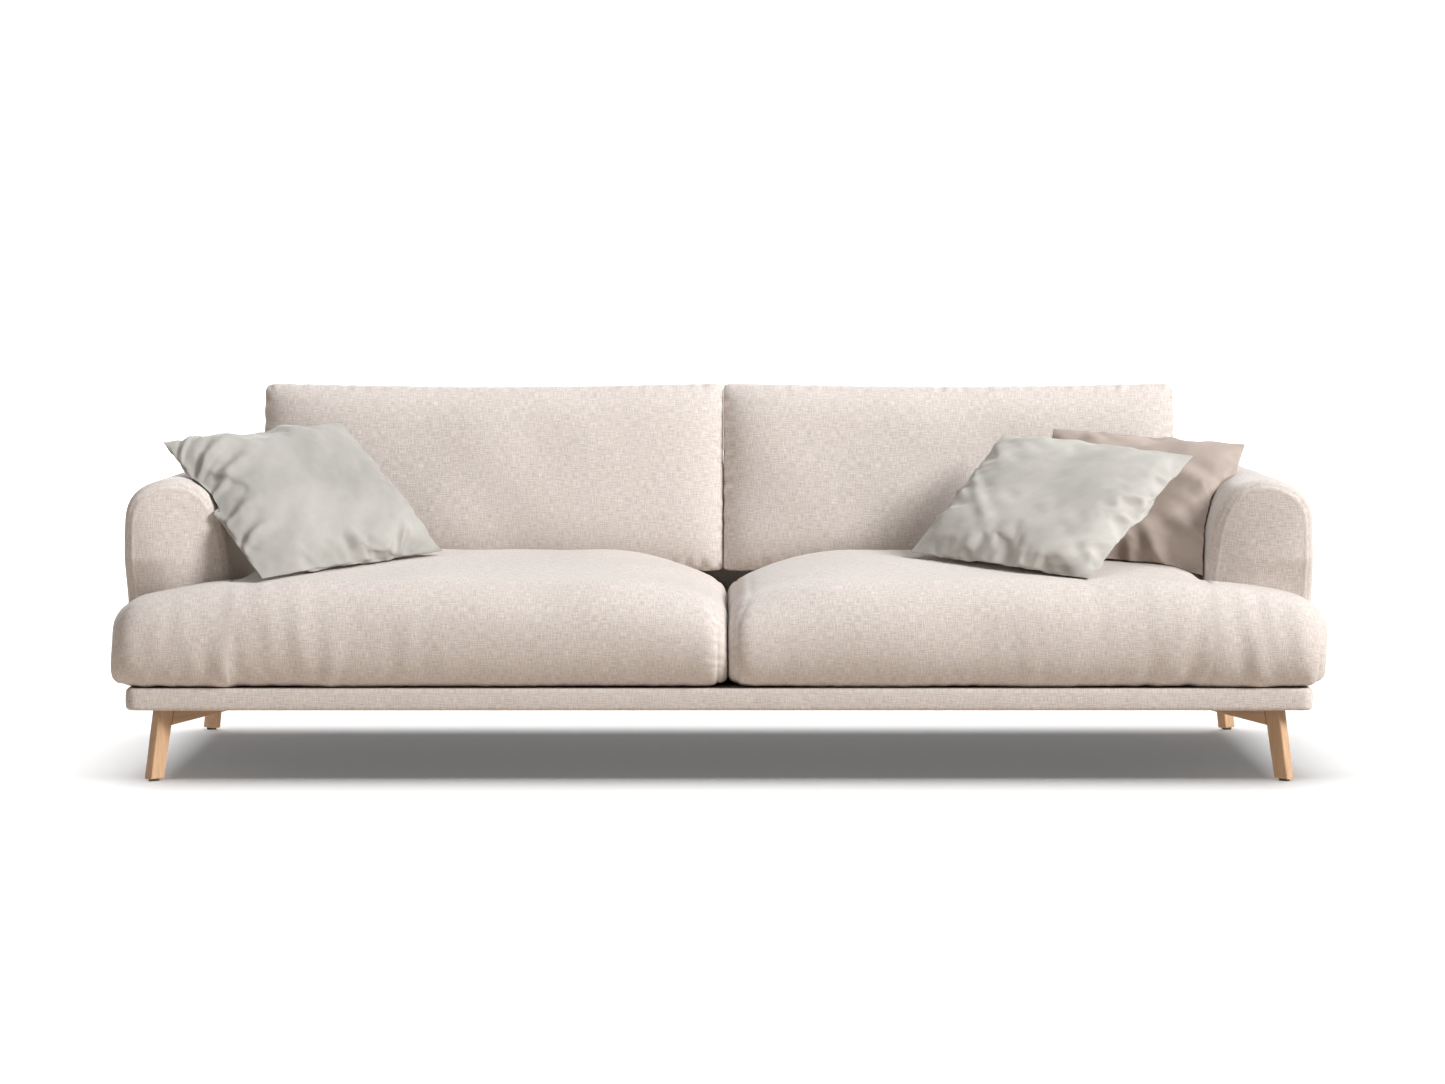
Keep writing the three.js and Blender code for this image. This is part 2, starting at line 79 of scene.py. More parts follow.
class Graph:
    """A material's node tree, built one node at a time."""

    def __init__(self, name: str) -> None:
        """Starts a material with a principled surface.

        Args:
            name: The material's name.
        """
        self.material = bpy.data.materials.new(name)
        self.material.use_nodes = True
        self.nodes = self.material.node_tree.nodes
        self.links = self.material.node_tree.links
        self.surface = self.nodes["Principled BSDF"]

    def add(self, kind: str, inputs: dict | None = None, **settings: object) -> bpy.types.Node:
        """Adds a node.

        Args:
            kind: The node's type name, without its ShaderNode prefix.
            inputs: Input name or number to a value, or to a socket to link from.
            **settings: The node's own settings.

        Returns:
            The new node.
        """
        node = self.nodes.new("ShaderNode" + kind)
        for key, value in settings.items():
            setattr(node, key, value)
        for key, value in (inputs or {}).items():
            self.feed(node.inputs[key], value)
        return node

    def feed(self, socket: bpy.types.NodeSocket, value: object) -> None:
        """Links a socket, or sets its value.

        Args:
            socket: The input to fill.
            value: A socket to link from, or a plain value.
        """
        if isinstance(value, bpy.types.NodeSocket):
            self.links.new(value, socket)
        else:
            socket.default_value = value

    def set(self, **values: object) -> None:
        """Fills the surface's inputs, named with underscores for spaces."""
        for key, value in values.items():
            self.feed(self.surface.inputs[key.replace("_", " ")], value)

    def maths(self, operation: str, a: object, b: object = 0.0) -> bpy.types.NodeSocket:
        """One arithmetic step.

        Args:
            operation: The math node's operation.
            a: The first value or socket.
            b: The second value or socket.

        Returns:
            The result's socket.
        """
        return self.add("Math", {0: a, 1: b}, operation=operation).outputs[0]

    def noise(
        self, vector: object, scale: float, detail: float = 2.0, rough: float = 0.5
    ) -> bpy.types.NodeSocket:
        """Fractal noise from 0 to 1.

        Args:
            vector: The coordinates' socket.
            scale: Cells a unit.
            detail: Octaves.
            rough: How strong the fine octaves are.

        Returns:
            The noise's socket.
        """
        inputs = {"Vector": vector, "Scale": scale, "Detail": detail, "Roughness": rough}
        return self.add("TexNoise", inputs).outputs["Fac"]

    def stretched(
        self, vector: object, scale: tuple[float, float, float], turn: float = 0.0
    ) -> bpy.types.NodeSocket:
        """Coordinates scaled by a different amount each way.

        Args:
            vector: The coordinates' socket.
            scale: The three scales.
            turn: A turn about Z first, in radians.

        Returns:
            The scaled coordinates' socket.
        """
        turned = self.add("Mapping", {"Vector": vector, "Rotation": (0.0, 0.0, turn)})
        return self.add("Mapping", {"Vector": turned.outputs[0], "Scale": scale}).outputs[0]

    def ramp(self, value: object, low: float, high: float, colours: tuple) -> bpy.types.NodeSocket:
        """A blend between two colours.

        Args:
            value: The value's socket.
            low: Where the first colour ends.
            high: Where the second colour starts.
            colours: The two linear colours.

        Returns:
            The colour's socket.
        """
        node = self.add("ValToRGB", {"Fac": value})
        for stop, place, colour in zip(node.color_ramp.elements, (low, high), colours):
            stop.position = place
            stop.color = (*colour, 1.0)
        return node.outputs["Color"]

    def bump(
        self, height: object, distance: float, strength: float = 1.0, below: object = None
    ) -> bpy.types.NodeSocket:
        """A bumped normal.

        Args:
            height: The height's socket.
            distance: The height of one unit, in metres.
            strength: From 0 to 1.
            below: Another bump's normal to add to.

        Returns:
            The normal's socket.
        """
        inputs = {"Height": height, "Distance": distance, "Strength": strength}
        if below is not None:
            inputs["Normal"] = below
        return self.add("Bump", inputs).outputs[0]


def tint(colour: tuple[float, float, float], factor: float) -> tuple[float, float, float]:
    """A linear colour made lighter or darker by a factor."""
    return tuple(min(1.0, c * factor) for c in colour)


@dataclass(frozen=True)
class WovenCloth:
    """A pale slub-woven upholstery cloth.

    Threads run along the cloth's flat pattern, which each piece carries in metres.
    """

    name: str = "woven_fabric"
    colour: tuple[float, float, float] = (0.655, 0.583, 0.530)
    thread: float = 0.0021
    slub_length: float = 0.019

    def make(self) -> bpy.types.Material:
        """Builds the material.

        Returns:
            The material.
        """
        g = Graph(self.name)
        flat = g.add("UVMap", uv_map="cloth").outputs[0]
        across, along = 1 / self.thread, 1 / self.slub_length
        weft = g.noise(g.stretched(flat, (along, across, 1.0)), 1.0, 1.0, 0.5)
        warp = g.noise(g.stretched(flat, (across * 1.1, along, 1.0)), 1.0, 1.0, 0.5)
        threads = g.maths("ADD", weft, warp)
        mottle = g.noise(flat, 300.0, 1.0, 0.5)
        base = g.maths("ADD", g.maths("MULTIPLY", threads, 0.475), g.maths("MULTIPLY", mottle, 0.05))
        colour = g.ramp(base, 0.34, 0.66, (tint(self.colour, 0.78), tint(self.colour, 1.17)))
        fine = g.bump(threads, 0.0009, 0.5)
        g.set(Base_Color=colour, Roughness=0.92, Normal=fine, Sheen_Weight=0.22, Sheen_Roughness=0.55)
        g.set(Specular_IOR_Level=0.18)
        return g.material


@dataclass(frozen=True)
class Velvet:
    """A short-pile velvet, with lighter and darker patches where the pile is brushed."""

    name: str
    colour: tuple[float, float, float]

    def make(self) -> bpy.types.Material:
        """Builds the material.

        Returns:
            The material.
        """
        g = Graph(self.name)
        flat = g.add("UVMap", uv_map="cloth").outputs[0]
        brushed = g.noise(g.stretched(flat, (7.0, 4.0, 1.0), 0.6), 1.0, 4.0, 0.6)
        pile = g.noise(flat, 900.0, 1.0, 0.5)
        tone = g.maths("ADD", g.maths("MULTIPLY", brushed, 0.9), g.maths("MULTIPLY", pile, 0.1))
        colour = g.ramp(tone, 0.33, 0.67, (tint(self.colour, 0.80), tint(self.colour, 1.15)))
        normal = g.bump(pile, 0.0005, 0.5, g.bump(brushed, 0.0015, 0.3))
        g.set(Base_Color=colour, Roughness=0.78, Normal=normal, Sheen_Weight=0.38, Sheen_Roughness=0.32)
        g.set(Specular_IOR_Level=0.2, Sheen_Tint=(*tint(self.colour, 1.35), 1.0))
        return g.material


@dataclass(frozen=True)
class Wood:
    """A planed timber with its grain along one direction."""

    name: str
    colour: tuple[float, float, float]
    roughness: float = 0.5
    run: tuple[float, float, float] = (0.0, 0.0, 1.0)
    contrast: float = 0.2

    def make(self) -> bpy.types.Material:
        """Builds the material.

        Returns:
            The material.
        """
        g = Graph(self.name)
        place = g.add("TexCoord").outputs["Object"]
        turn = -math.atan2(self.run[1], self.run[0]) if abs(self.run[2]) < 0.5 else 0.0
        long_axis = 2 if abs(self.run[2]) >= 0.5 else 0
        grain_scale = tuple(5.0 if i == long_axis else 85.0 for i in range(3))
        pore_scale = tuple(30.0 if i == long_axis else 900.0 for i in range(3))
        grain = g.noise(g.stretched(place, grain_scale, turn), 1.0, 4.0, 0.6)
        pores = g.noise(g.stretched(place, pore_scale, turn), 1.0, 2.0, 0.5)
        tone = g.maths("ADD", g.maths("MULTIPLY", grain, 0.75), g.maths("MULTIPLY", pores, 0.25))
        dark, light = tint(self.colour, 1 - self.contrast), tint(self.colour, 1 + self.contrast * 0.6)
        colour = g.ramp(tone, 0.36, 0.64, (dark, light))
        rough = g.maths("ADD", g.maths("MULTIPLY", pores, 0.16), self.roughness - 0.08)
        g.set(Base_Color=colour, Roughness=rough, Normal=g.bump(tone, 0.0006, 0.4))
        return g.material


@dataclass(frozen=True)
class PlainFinish:
    """A simple finish with fine mottling: felt, foam, spun cloth or plated steel."""

    name: str
    colour: tuple[float, float, float]
    roughness: float
    metallic: float = 0.0
    grain: float = 400.0

    def make(self) -> bpy.types.Material:
        """Builds the material.

        Returns:
            The material.
        """
        g = Graph(self.name)
        place = g.add("TexCoord").outputs["Object"]
        speck = g.noise(place, self.grain, 3.0, 0.6)
        colour = g.ramp(speck, 0.3, 0.7, (tint(self.colour, 0.88), tint(self.colour, 1.1)))
        rough = g.maths("ADD", g.maths("MULTIPLY", speck, 0.12), self.roughness - 0.06)
        g.set(Base_Color=colour, Roughness=rough, Metallic=self.metallic, Normal=g.bump(speck, 0.0004, 0.4))
        return g.material


class Finishes:
    """Every finish on the sofa, each built once."""

    def __init__(self) -> None:
        """Builds the materials."""
        beech = (0.60, 0.378, 0.215)
        pine = (0.67, 0.51, 0.29)
        diagonal = {"rising": (1.0, 1.0, 0.0), "falling": (1.0, -1.0, 0.0)}
        self.cloth = WovenCloth().make()
        sage = (0.495, 0.470, 0.425)
        self.velvets = {
            # The left pillow's velvet is the same sage darkened to 0.82: painted shade, because that pillow
            # faces the key light.
            Body.PILLOW_LEFT: Velvet("grey_velvet_painted_shade", tint(sage, 0.82)).make(),
            Body.PILLOW_RIGHT_FRONT: Velvet("grey_velvet_unshaded", sage).make(),
            Body.PILLOW_RIGHT_REAR: Velvet("taupe_velvet", (0.46, 0.378, 0.325)).make(),
        }
        self.beech_upright = Wood("beech_upright", beech, 0.45).make()
        self.beech_rising = Wood("beech_rising", beech, 0.45, diagonal["rising"]).make()
        self.beech_falling = Wood("beech_falling", beech, 0.45, diagonal["falling"]).make()
        self.pine_x = Wood("pine_lengthwise", pine, 0.65, (1.0, 0.0, 0.0)).make()
        self.pine_y = Wood("pine_crosswise", pine, 0.65, (0.0, 1.0, 0.0)).make()
        self.pine_upright = Wood("pine_upright", pine, 0.65).make()
        self.birch = Wood("birch_ply", (0.60, 0.46, 0.25), 0.6, contrast=0.1).make()
        self.steel = PlainFinish("plated_steel", (0.56, 0.57, 0.58), 0.35, 1.0, 900.0).make()
        self.black_cloth = PlainFinish("spun_cloth", (0.028, 0.027, 0.026), 0.95).make()
        self.deck_cloth = PlainFinish("deck_cloth", (0.36, 0.30, 0.26), 0.95).make()
        self.felt = PlainFinish("felt", (0.07, 0.06, 0.052), 0.95, grain=700.0).make()


# ---- Soft shapes ----------------------------------------------------------------------------------


@dataclass(frozen=True)
class Ripples:
    """Soft random unevenness: a seeded sum of waves that run mostly one way."""

    seed: int
    wavelength: float
    heading: float = 0.0
    spread: float = math.pi
    count: int = 16

    def at(self, u: Array, v: Array) -> Array:
        """The height of the waves.

        Args:
            u: First flat coordinate, in metres.
            v: Second flat coordinate, in metres.

        Returns:
            Heights of about -1 to 1.
        """
        rng = np.random.default_rng(self.seed)
        full_turn = 6.283
        total = np.zeros(np.broadcast(u, v).shape)
        for _ in range(self.count):
            angle = self.heading + self.spread * (rng.random() - 0.5)
            number = 2 * math.pi / (self.wavelength * (0.6 + 0.9 * rng.random()))
            distance = u * math.cos(angle) + v * math.sin(angle)
            total += np.sin(number * distance + full_turn * rng.random())
        return total / math.sqrt(self.count / 2) / 2


def bell(distance: Array, width: float) -> Array:
    """A smooth bump that is 1 at zero distance and fades over a width."""
    return np.exp(-((distance / width) ** 2))


def rounding(distance: Array, radius: float) -> Array:
    """How far a rounded edge has drawn in, at a distance from its end."""
    reach = np.clip(radius - distance, 0, radius)
    return radius - np.sqrt(radius**2 - reach**2)


def grid_object(
    name: str, points: Array, faces: Array, flat: Array, material: bpy.types.Material
) -> bpy.types.Object:
    """Makes a smooth-shaded object from quads with a flat pattern.

    Args:
        name: The piece's name.
        points: Corner positions, one row each.
        faces: Four corner numbers a face.
        flat: The flat pattern's position of each face corner, in metres, shaped (faces, 4, 2).
        material: Its finish.

    Returns:
        The object, linked to the scene.
    """
    mesh = bpy.data.meshes.new(name)
    mesh.from_pydata(points.tolist(), [], faces.tolist())
    layer = mesh.uv_layers.new(name="cloth")
    layer.data.foreach_set("uv", flat.reshape(-1).astype(np.float32))
    mesh.materials.append(material)
    mesh.shade_smooth()
    obj = bpy.data.objects.new(name, mesh)
    bpy.context.scene.collection.objects.link(obj)
    return obj


class Skin:
    """A closed skin through rings of points, capped at both ends or joined end to end."""

    def __init__(
        self,
        rings: Array,
        looped: bool = False,
        caps: int = 10,
        bulge: tuple[float, float] = (0.0, 0.0),
    ) -> None:
        """Takes the rings and adds the end caps.

        Args:
            rings: Points shaped (stations, around, 3).
            looped: True if the last ring joins the first.
            caps: Rings in each end cap.
            bulge: How far the middle of each cap stands out, in metres.
        """
        self.looped = looped
        self.cap_count = 0 if looped else caps
        if not looped:
            first = self._cap(rings[0], rings[0] - rings[1], caps, bulge[0])
            last = self._cap(rings[-1], rings[-1] - rings[-2], caps, bulge[1])
            rings = np.concatenate([first[::-1], rings, last])
        self.points = rings
        self._measure()

    @staticmethod
    def _cap(ring: Array, outward: Array, count: int, bulge: float) -> Array:
        """Rings that shrink from an end ring to its middle, closest together at the rim.

        Args:
            ring: The end ring.
            outward: Each point's way out from the ring before it.
            count: Rings in the cap.
            bulge: How far the middle stands out, in metres.

        Returns:
            The rings, shaped (count, around, 3).
        """
        crowding, tip = 1.6, 0.004
        middle = ring.mean(axis=0)
        way = outward.mean(axis=0)
        way /= np.linalg.norm(way) + TINY
        shares = 1 - (np.arange(1, count + 1) / count) ** crowding
        rings = [middle + (ring - middle) * max(s, tip) + way * bulge * (1 - s * s) for s in shares]
        return np.array(rings)

    def _measure(self) -> None:
        """Lays the cloth flat: arc length along and around."""
        step_along = np.linalg.norm(np.diff(self.points, axis=0), axis=2).mean(axis=1)
        self.along = np.concatenate([[0.0], np.cumsum(step_along)])
        middle = self.points[len(self.points) // 2]
        step_around = np.linalg.norm(np.roll(middle, -1, axis=0) - middle, axis=1)
        self.around = np.concatenate([[0.0], np.cumsum(step_around)])

    def normals(self) -> Array:
        """Outward normals at every point.

        Returns:
            Unit vectors, shaped like the grid of points.
        """
        p = self.points
        along = np.gradient(p, axis=0)
        if self.looped:
            along = (np.roll(p, -1, axis=0) - np.roll(p, 1, axis=0)) / 2
        around = (np.roll(p, -1, axis=1) - np.roll(p, 1, axis=1)) / 2
        n = np.cross(around, along)
        n /= np.linalg.norm(n, axis=2, keepdims=True) + TINY
        ring = len(p) // 2
        out = p[ring] - p[ring].mean(axis=0)
        return n if (n[ring] * out).sum() > 0 else -n

    def push(self, amount: Array) -> "Skin":
        """Moves every point along its normal.

        Args:
            amount: Distances outward, in metres, shaped like the grid.

        Returns:
            This skin.
        """
        self.points = self.points + self.normals() * amount[..., None]
        return self

    def build(self, name: str, material: bpy.types.Material) -> bpy.types.Object:
        """Makes the object.

        Args:
            name: The piece's name.
            material: Its finish.

        Returns:
            The object.
        """
        rows, cols = self.points.shape[:2]
        row_count = rows if self.looped else rows - 1
        i, j = np.meshgrid(np.arange(row_count), np.arange(cols), indexing="ij")
        i, j = i.ravel(), j.ravel()
        i2, j2 = (i + 1) % rows, (j + 1) % cols
        faces = np.stack([i * cols + j, i * cols + j2, i2 * cols + j2, i2 * cols + j], axis=1)
        closing = np.linalg.norm(self.points[0] - self.points[-1], axis=1).mean()
        u = np.append(self.along, self.along[-1] + closing)
        corners = ((i, j), (i, j + 1), (i + 1, j + 1), (i + 1, j))
        flat = np.stack([np.stack([u[a], self.around[b]], axis=1) for a, b in corners], axis=1)
        if not self.looped:
            # The cloth of an end cap lies flat across the cap.
            way = np.abs(self.points[-1].mean(axis=0) - self.points[0].mean(axis=0))
            level = np.sort(np.argsort(way)[:2])
            on_cap = (i < self.cap_count) | (i >= rows - 1 - self.cap_count)
            flat[on_cap] = self.points.reshape(-1, 3)[faces[on_cap]][..., level]
        obj = grid_object(name, self.points.reshape(-1, 3), faces, flat, material)
        self._close_ends(obj, rows, cols)
        return obj

    def _close_ends(self, obj: bpy.types.Object, rows: int, cols: int) -> None:
        """Welds each cap's last ring shut and turns the faces outward.

        Args:
            obj: The new object.
            rows: Rings in the skin, with its caps.
            cols: Points in a ring.
        """
        bm = bmesh.new()
        bm.from_mesh(obj.data)
        if not self.looped:
            bm.verts.ensure_lookup_table()
            tips = [[bm.verts[start + k] for k in range(cols)] for start in (0, (rows - 1) * cols)]
            for tip in tips:
                bmesh.ops.pointmerge(bm, verts=tip, merge_co=sum((v.co for v in tip), Vector()) / cols)
        bmesh.ops.recalc_face_normals(bm, faces=bm.faces)
        bm.to_mesh(obj.data)
        bm.free()
        obj.data.shade_smooth()


class SewnPad:
    """Two cloth panels sewn together round their edge."""

    def __init__(self, width: float, height: float, cells: tuple[int, int], corner: float = 0.0) -> None:
        """Lays out the two panels.

        Args:
            width: Panel width, in metres.
            height: Panel height, in metres.
            cells: Cells across and up.
            corner: Corner radius, in metres.
        """
        self.width, self.height, self.cells, self.corner = width, height, cells, corner
        nx, ny = cells
        u, v = np.meshgrid(np.linspace(-1, 1, nx + 1), np.linspace(-1, 1, ny + 1), indexing="xy")
        self.u, self.v = u, v
        x, y = u * width / 2, v * height / 2
        if corner > 0:
            x, y = self._round_corners(x, y)
        self.x, self.y = x, y
        self.front = np.stack([x, y, np.zeros_like(x)], axis=2)
        self.rear = self.front.copy()

    def _round_corners(self, x: Array, y: Array) -> tuple[Array, Array]:
        """Draws the corner squares in to quarter discs.

        Args:
            x: Places across the panel.
            y: Places up the panel.

        Returns:
            The new places across and up.
        """
        core = np.array([self.width / 2 - self.corner, self.height / 2 - self.corner])
        dx, dy = np.abs(x) - core[0], np.abs(y) - core[1]
        inside = (dx > 0) & (dy > 0)
        length = np.hypot(dx, dy) + TINY
        scale = np.where(inside, np.maximum(dx, dy) / length, 1.0)
        new_x = np.where(inside, np.sign(x) * (core[0] + dx * scale), x)
        new_y = np.where(inside, np.sign(y) * (core[1] + dy * scale), y)
        return new_x, new_y

    def build(self, name: str, material: bpy.types.Material) -> bpy.types.Object:
        """Makes the object, with both panels sharing their edge.

        Args:
            name: The piece's name.
            material: Its finish.

        Returns:
            The object.
        """
        rows, cols = self.u.shape
        index = np.arange(rows * cols).reshape(rows, cols)
        edge = np.zeros((rows, cols), bool)
        edge[[0, -1], :] = edge[:, [0, -1]] = True
        rear_index = index.copy()
        rear_index[~edge] = rows * cols + np.arange((~edge).sum())
        points = np.concatenate([self.front.reshape(-1, 3), self.rear[~edge]])
        corner = self._cell_corners
        front, rear = corner(index), corner(rear_index)[:, ::-1]
        uv = np.stack([self.u * self.width / 2, self.v * self.height / 2], axis=2)
        uv_front = np.stack([corner(uv[..., 0]), corner(uv[..., 1])], axis=2)
        uv_rear = uv_front[:, ::-1] + np.array([self.width * 1.5, 0.0])
        faces = np.concatenate([front, rear])
        return grid_object(name, points, faces, np.concatenate([uv_front, uv_rear]), material)

    @staticmethod
    def _cell_corners(grid: Array) -> Array:
        """The four corner values of each cell of a grid, one row a cell."""
        corners = [grid[:-1, :-1], grid[:-1, 1:], grid[1:, 1:], grid[1:, :-1]]
        return np.stack(corners, axis=2).reshape(-1, 4)


@dataclass(frozen=True)
class Stuffing:
    """How a sewn cover is filled out: a short cloth simulation with no gravity."""

    pressure: float = 4.0
    frames: int = 20
    tension: float = 18.0
    bending: float = 0.6
    shrink: float = 0.0

    def fill(self, obj: bpy.types.Object, group: str | None = None) -> None:
        """Inflates the object in place.

        Args:
            obj: The sewn cover.
            group: A vertex group that draws in, if any.
        """
        scene = bpy.context.scene
        modifier = obj.modifiers.new("cloth", "CLOTH")
        cloth = modifier.settings
        cloth.quality = 6
        cloth.mass = 0.3
        cloth.air_damping = 2.0
        cloth.tension_stiffness = cloth.compression_stiffness = self.tension
        cloth.shear_stiffness = self.tension * 0.5
        cloth.bending_stiffness = self.bending
        cloth.use_pressure = True
        cloth.uniform_pressure_force = self.pressure
        cloth.effector_weights.gravity = 0.0
        modifier.collision_settings.use_collision = False
        if group:
            cloth.vertex_group_shrink = group
            cloth.shrink_max = self.shrink
        modifier.point_cache.frame_start = 1
        modifier.point_cache.frame_end = self.frames
        for number in range(1, self.frames + 1):
            scene.frame_set(number)
        graph = bpy.context.evaluated_depsgraph_get()
        settled = bpy.data.meshes.new_from_object(obj.evaluated_get(graph))
        obj.modifiers.remove(modifier)
        scene.frame_set(1)
        old = obj.data
        obj.data = settled
        bpy.data.meshes.remove(old)
        obj.data.shade_smooth()


def coordinates(obj: bpy.types.Object) -> Array:
    """The object's points.

    Args:
        obj: A mesh object.

    Returns:
        Its points, one row each.
    """
    flat = np.empty(len(obj.data.vertices) * 3)
    obj.data.vertices.foreach_get("co", flat)
    return flat.reshape(-1, 3)


def set_coordinates(obj: bpy.types.Object, points: Array) -> None:
    """Writes the object's points back."""
    obj.data.vertices.foreach_set("co", points.reshape(-1))
    obj.data.update()


def finish_soft(obj: bpy.types.Object, body: Body, nodes: list[str]) -> None:
    """Attaches a stuffed piece to the body it rides on and hides the plain solids it stands for.

    Args:
        obj: The piece.
        body: The body it rides on.
        nodes: The plain solids it stands for.
    """
    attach(obj, body.value)
    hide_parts(*nodes)
    log.info("%s: %d faces", obj.name, len(obj.data.polygons))


def subdivide(obj: bpy.types.Object, levels: int = 1) -> None:
    """Smooths a piece with a subdivision modifier."""
    modifier = obj.modifiers.new("smooth", "SUBSURF")
    modifier.levels = modifier.render_levels = levels


# ---- Seat cushions --------------------------------------------------------------------------------


@dataclass
class SeatCushion:
    """A loose T-shaped seat cushion with a wing in front of the arm."""

    side: Side
    seam: float = 0.0015
    arm_side: float = 1.0125
    wing: float = 1.2556
    front: float = -0.480
    back: float = 0.293
    wing_back: float = -0.304
    base: float = 0.1955
    edge_top: float = 0.366
    crown: float = 0.080
    crown_overrun: float = 0.18
    wing_top: float = 0.409
    wing_drop: float = 0.035
    meeting: float = 0.018
    # Rounded ends: a radius, and how much of it the cover follows.
    inner_round: tuple[float, float] = (0.050, 0.75)
    outer_round: tuple[float, float] = (0.068, 0.80)
    arm_round: float = 0.030
    nose: float = 0.110
    chin: float = 0.066
    tail: float = 0.032
    heel: float = 0.020

    def stations(self) -> Array:
        """Places along X, close together where seams and corners need them.

        Returns:
            The places, from the middle of the sofa outwards.
        """
        near_end = [0, 0.001, 0.003, 0.006, 0.009, 0.012, 0.0145, 0.017, 0.0195, 0.022, 0.026, 0.031, 0.038]
        start = self.seam + np.array(near_end)
        body = np.linspace(self.seam + 0.046, self.arm_side - 0.034, 84)
        corner = self.arm_side - np.array([0.026, 0.019, 0.013, 0.008, 0.004, 0.001])
        wing = np.linspace(self.arm_side + 0.002, self.wing - 0.046, 20)
        return np.concatenate([start, body, corner, wing, (self.wing + self.seam) - start[::-1]])

    def share(self, distance: Array) -> Array:
        """How much of the crown is left at a distance from an end."""
        reach, steepness = 0.30, 2.2
        return 1 - (1 - np.clip(distance / reach, 0, 1)) ** steepness

    def top_curve(self, y: Array, swell: float, x: float) -> Array:
        """Height of the top between the arms, or in front of one.

        Args:
            y: Places from front to back.
            swell: The crown's height here.
            x: The station.

        Returns:
            Heights, before the edges are rounded.
        """
        # Shares of the crown, from the front edge to the dip under the back cushions.
        ys = np.array([-0.48, -0.392, -0.30, -0.18, -0.05, 0.03, 0.09, 0.14, 0.19, 0.25, 0.30])
        zs = np.array([0.55, 0.62, 0.72, 0.86, 0.97, 1.0, 0.93, 0.66, 0.32, 0.14, 0.10])
        dense = np.linspace(-0.55, 0.36, 183)
        half_window = 8
        window = np.hanning(2 * half_window + 1)
        padded = np.pad(np.interp(dense, ys, zs), half_window, mode="edge")
        smooth = np.convolve(padded, window / window.sum(), "valid")
        body = self.edge_top + swell * np.interp(y, dense, smooth)
        wing = self.wing_top - self.wing_drop * max(0.0, (x - 1.02) / 0.21) ** 1.3
        blend = min(1.0, max(0.0, (x - 0.95) / 0.09))
        blend = blend * blend * (3 - 2 * blend)
        return body * (1 - blend) + wing * blend

    def ring(self, x: float) -> Array:
        """The outline at one station: up the front, back over the top, down and forward again.

        Args:
            x: The station.

        Returns:
            The outline's points.
        """
        is_wing = x > self.arm_side
        end = min(x - self.seam, self.wing - x)
        radius, share = self.inner_round if x < 0.5 else self.outer_round
        inset = float(rounding(np.array(end), radius)) * share
        y0 = self.front + inset
        y1 = (self.wing_back if is_wing else self.back) - inset
        low = self.base + inset * 0.45
        inner_share = self.share(np.array(x - self.seam))
        outer_share = self.share(np.array(self.arm_side + self.crown_overrun - x))
        swell = self.crown * float(inner_share * outer_share)
        side_round = 0.0 if is_wing else float(rounding(np.array(self.arm_side - x), self.arm_round))
        depth = y1 - y0
        nose = self.nose - 0.020 * min(1.0, max(0.0, (x - 0.80) / 0.20))
        nose = min(nose, 0.55 * depth)
        chin = min(self.chin, 0.34 * depth)
        top_start = float(self.top_curve(np.array(y0 + nose), swell, x)) - inset
        middle = low + 0.46 * (top_start - low)
        lower, upper = np.linspace(-math.pi / 2, 0, 22), np.linspace(0, math.pi / 2, 26)[1:]
        chin_y = y0 + chin * (1 - np.cos(lower) ** 0.95)
        nose_y = np.concatenate([chin_y, y0 + nose * (1 - np.cos(upper) ** 0.85)])
        low_z = middle + (middle - low) * np.sin(lower)
        nose_z = np.concatenate([low_z, middle + (top_start - middle) * np.sin(upper)])
        tail = min(self.tail, 0.30 * depth)
        heel = min(self.heel, 0.20 * depth)
        top_y = np.linspace(y0 + nose, y1 - tail, 62)[1:]
        top_z = self.top_curve(top_y, swell, x) - inset
        guard = np.clip((top_y - self.wing_back + 0.03) / 0.06, 0, 1)
        top_z = top_z - side_round * guard
        turn = np.linspace(math.pi / 2, 0, 8)[1:]
        tail_top = top_z[-1] - tail + tail * np.sin(turn)
        tail_y = (y1 - tail) + tail * np.cos(turn)
        rear_z = np.linspace(tail_top[-1], low + heel, 9)[1:]
        rear_y = np.full_like(rear_z, y1) - 0.004 * (1 - np.sin(np.linspace(0, math.pi, 8)))
        under = np.linspace(0, -math.pi / 2, 6)[1:]
        under_y, under_z = (y1 - heel) + heel * np.cos(under), low + heel + heel * np.sin(under)
        floor_y = np.linspace(y1 - heel, y0 + chin, 36)[1:-1]
        floor_z = np.full_like(floor_y, low)
        y = np.concatenate([nose_y, top_y, tail_y, rear_y, under_y, floor_y])
        z = np.concatenate([nose_z, top_z, tail_top, rear_z, under_z, floor_z])
        return np.stack([np.full_like(y, x), y, z], axis=1)

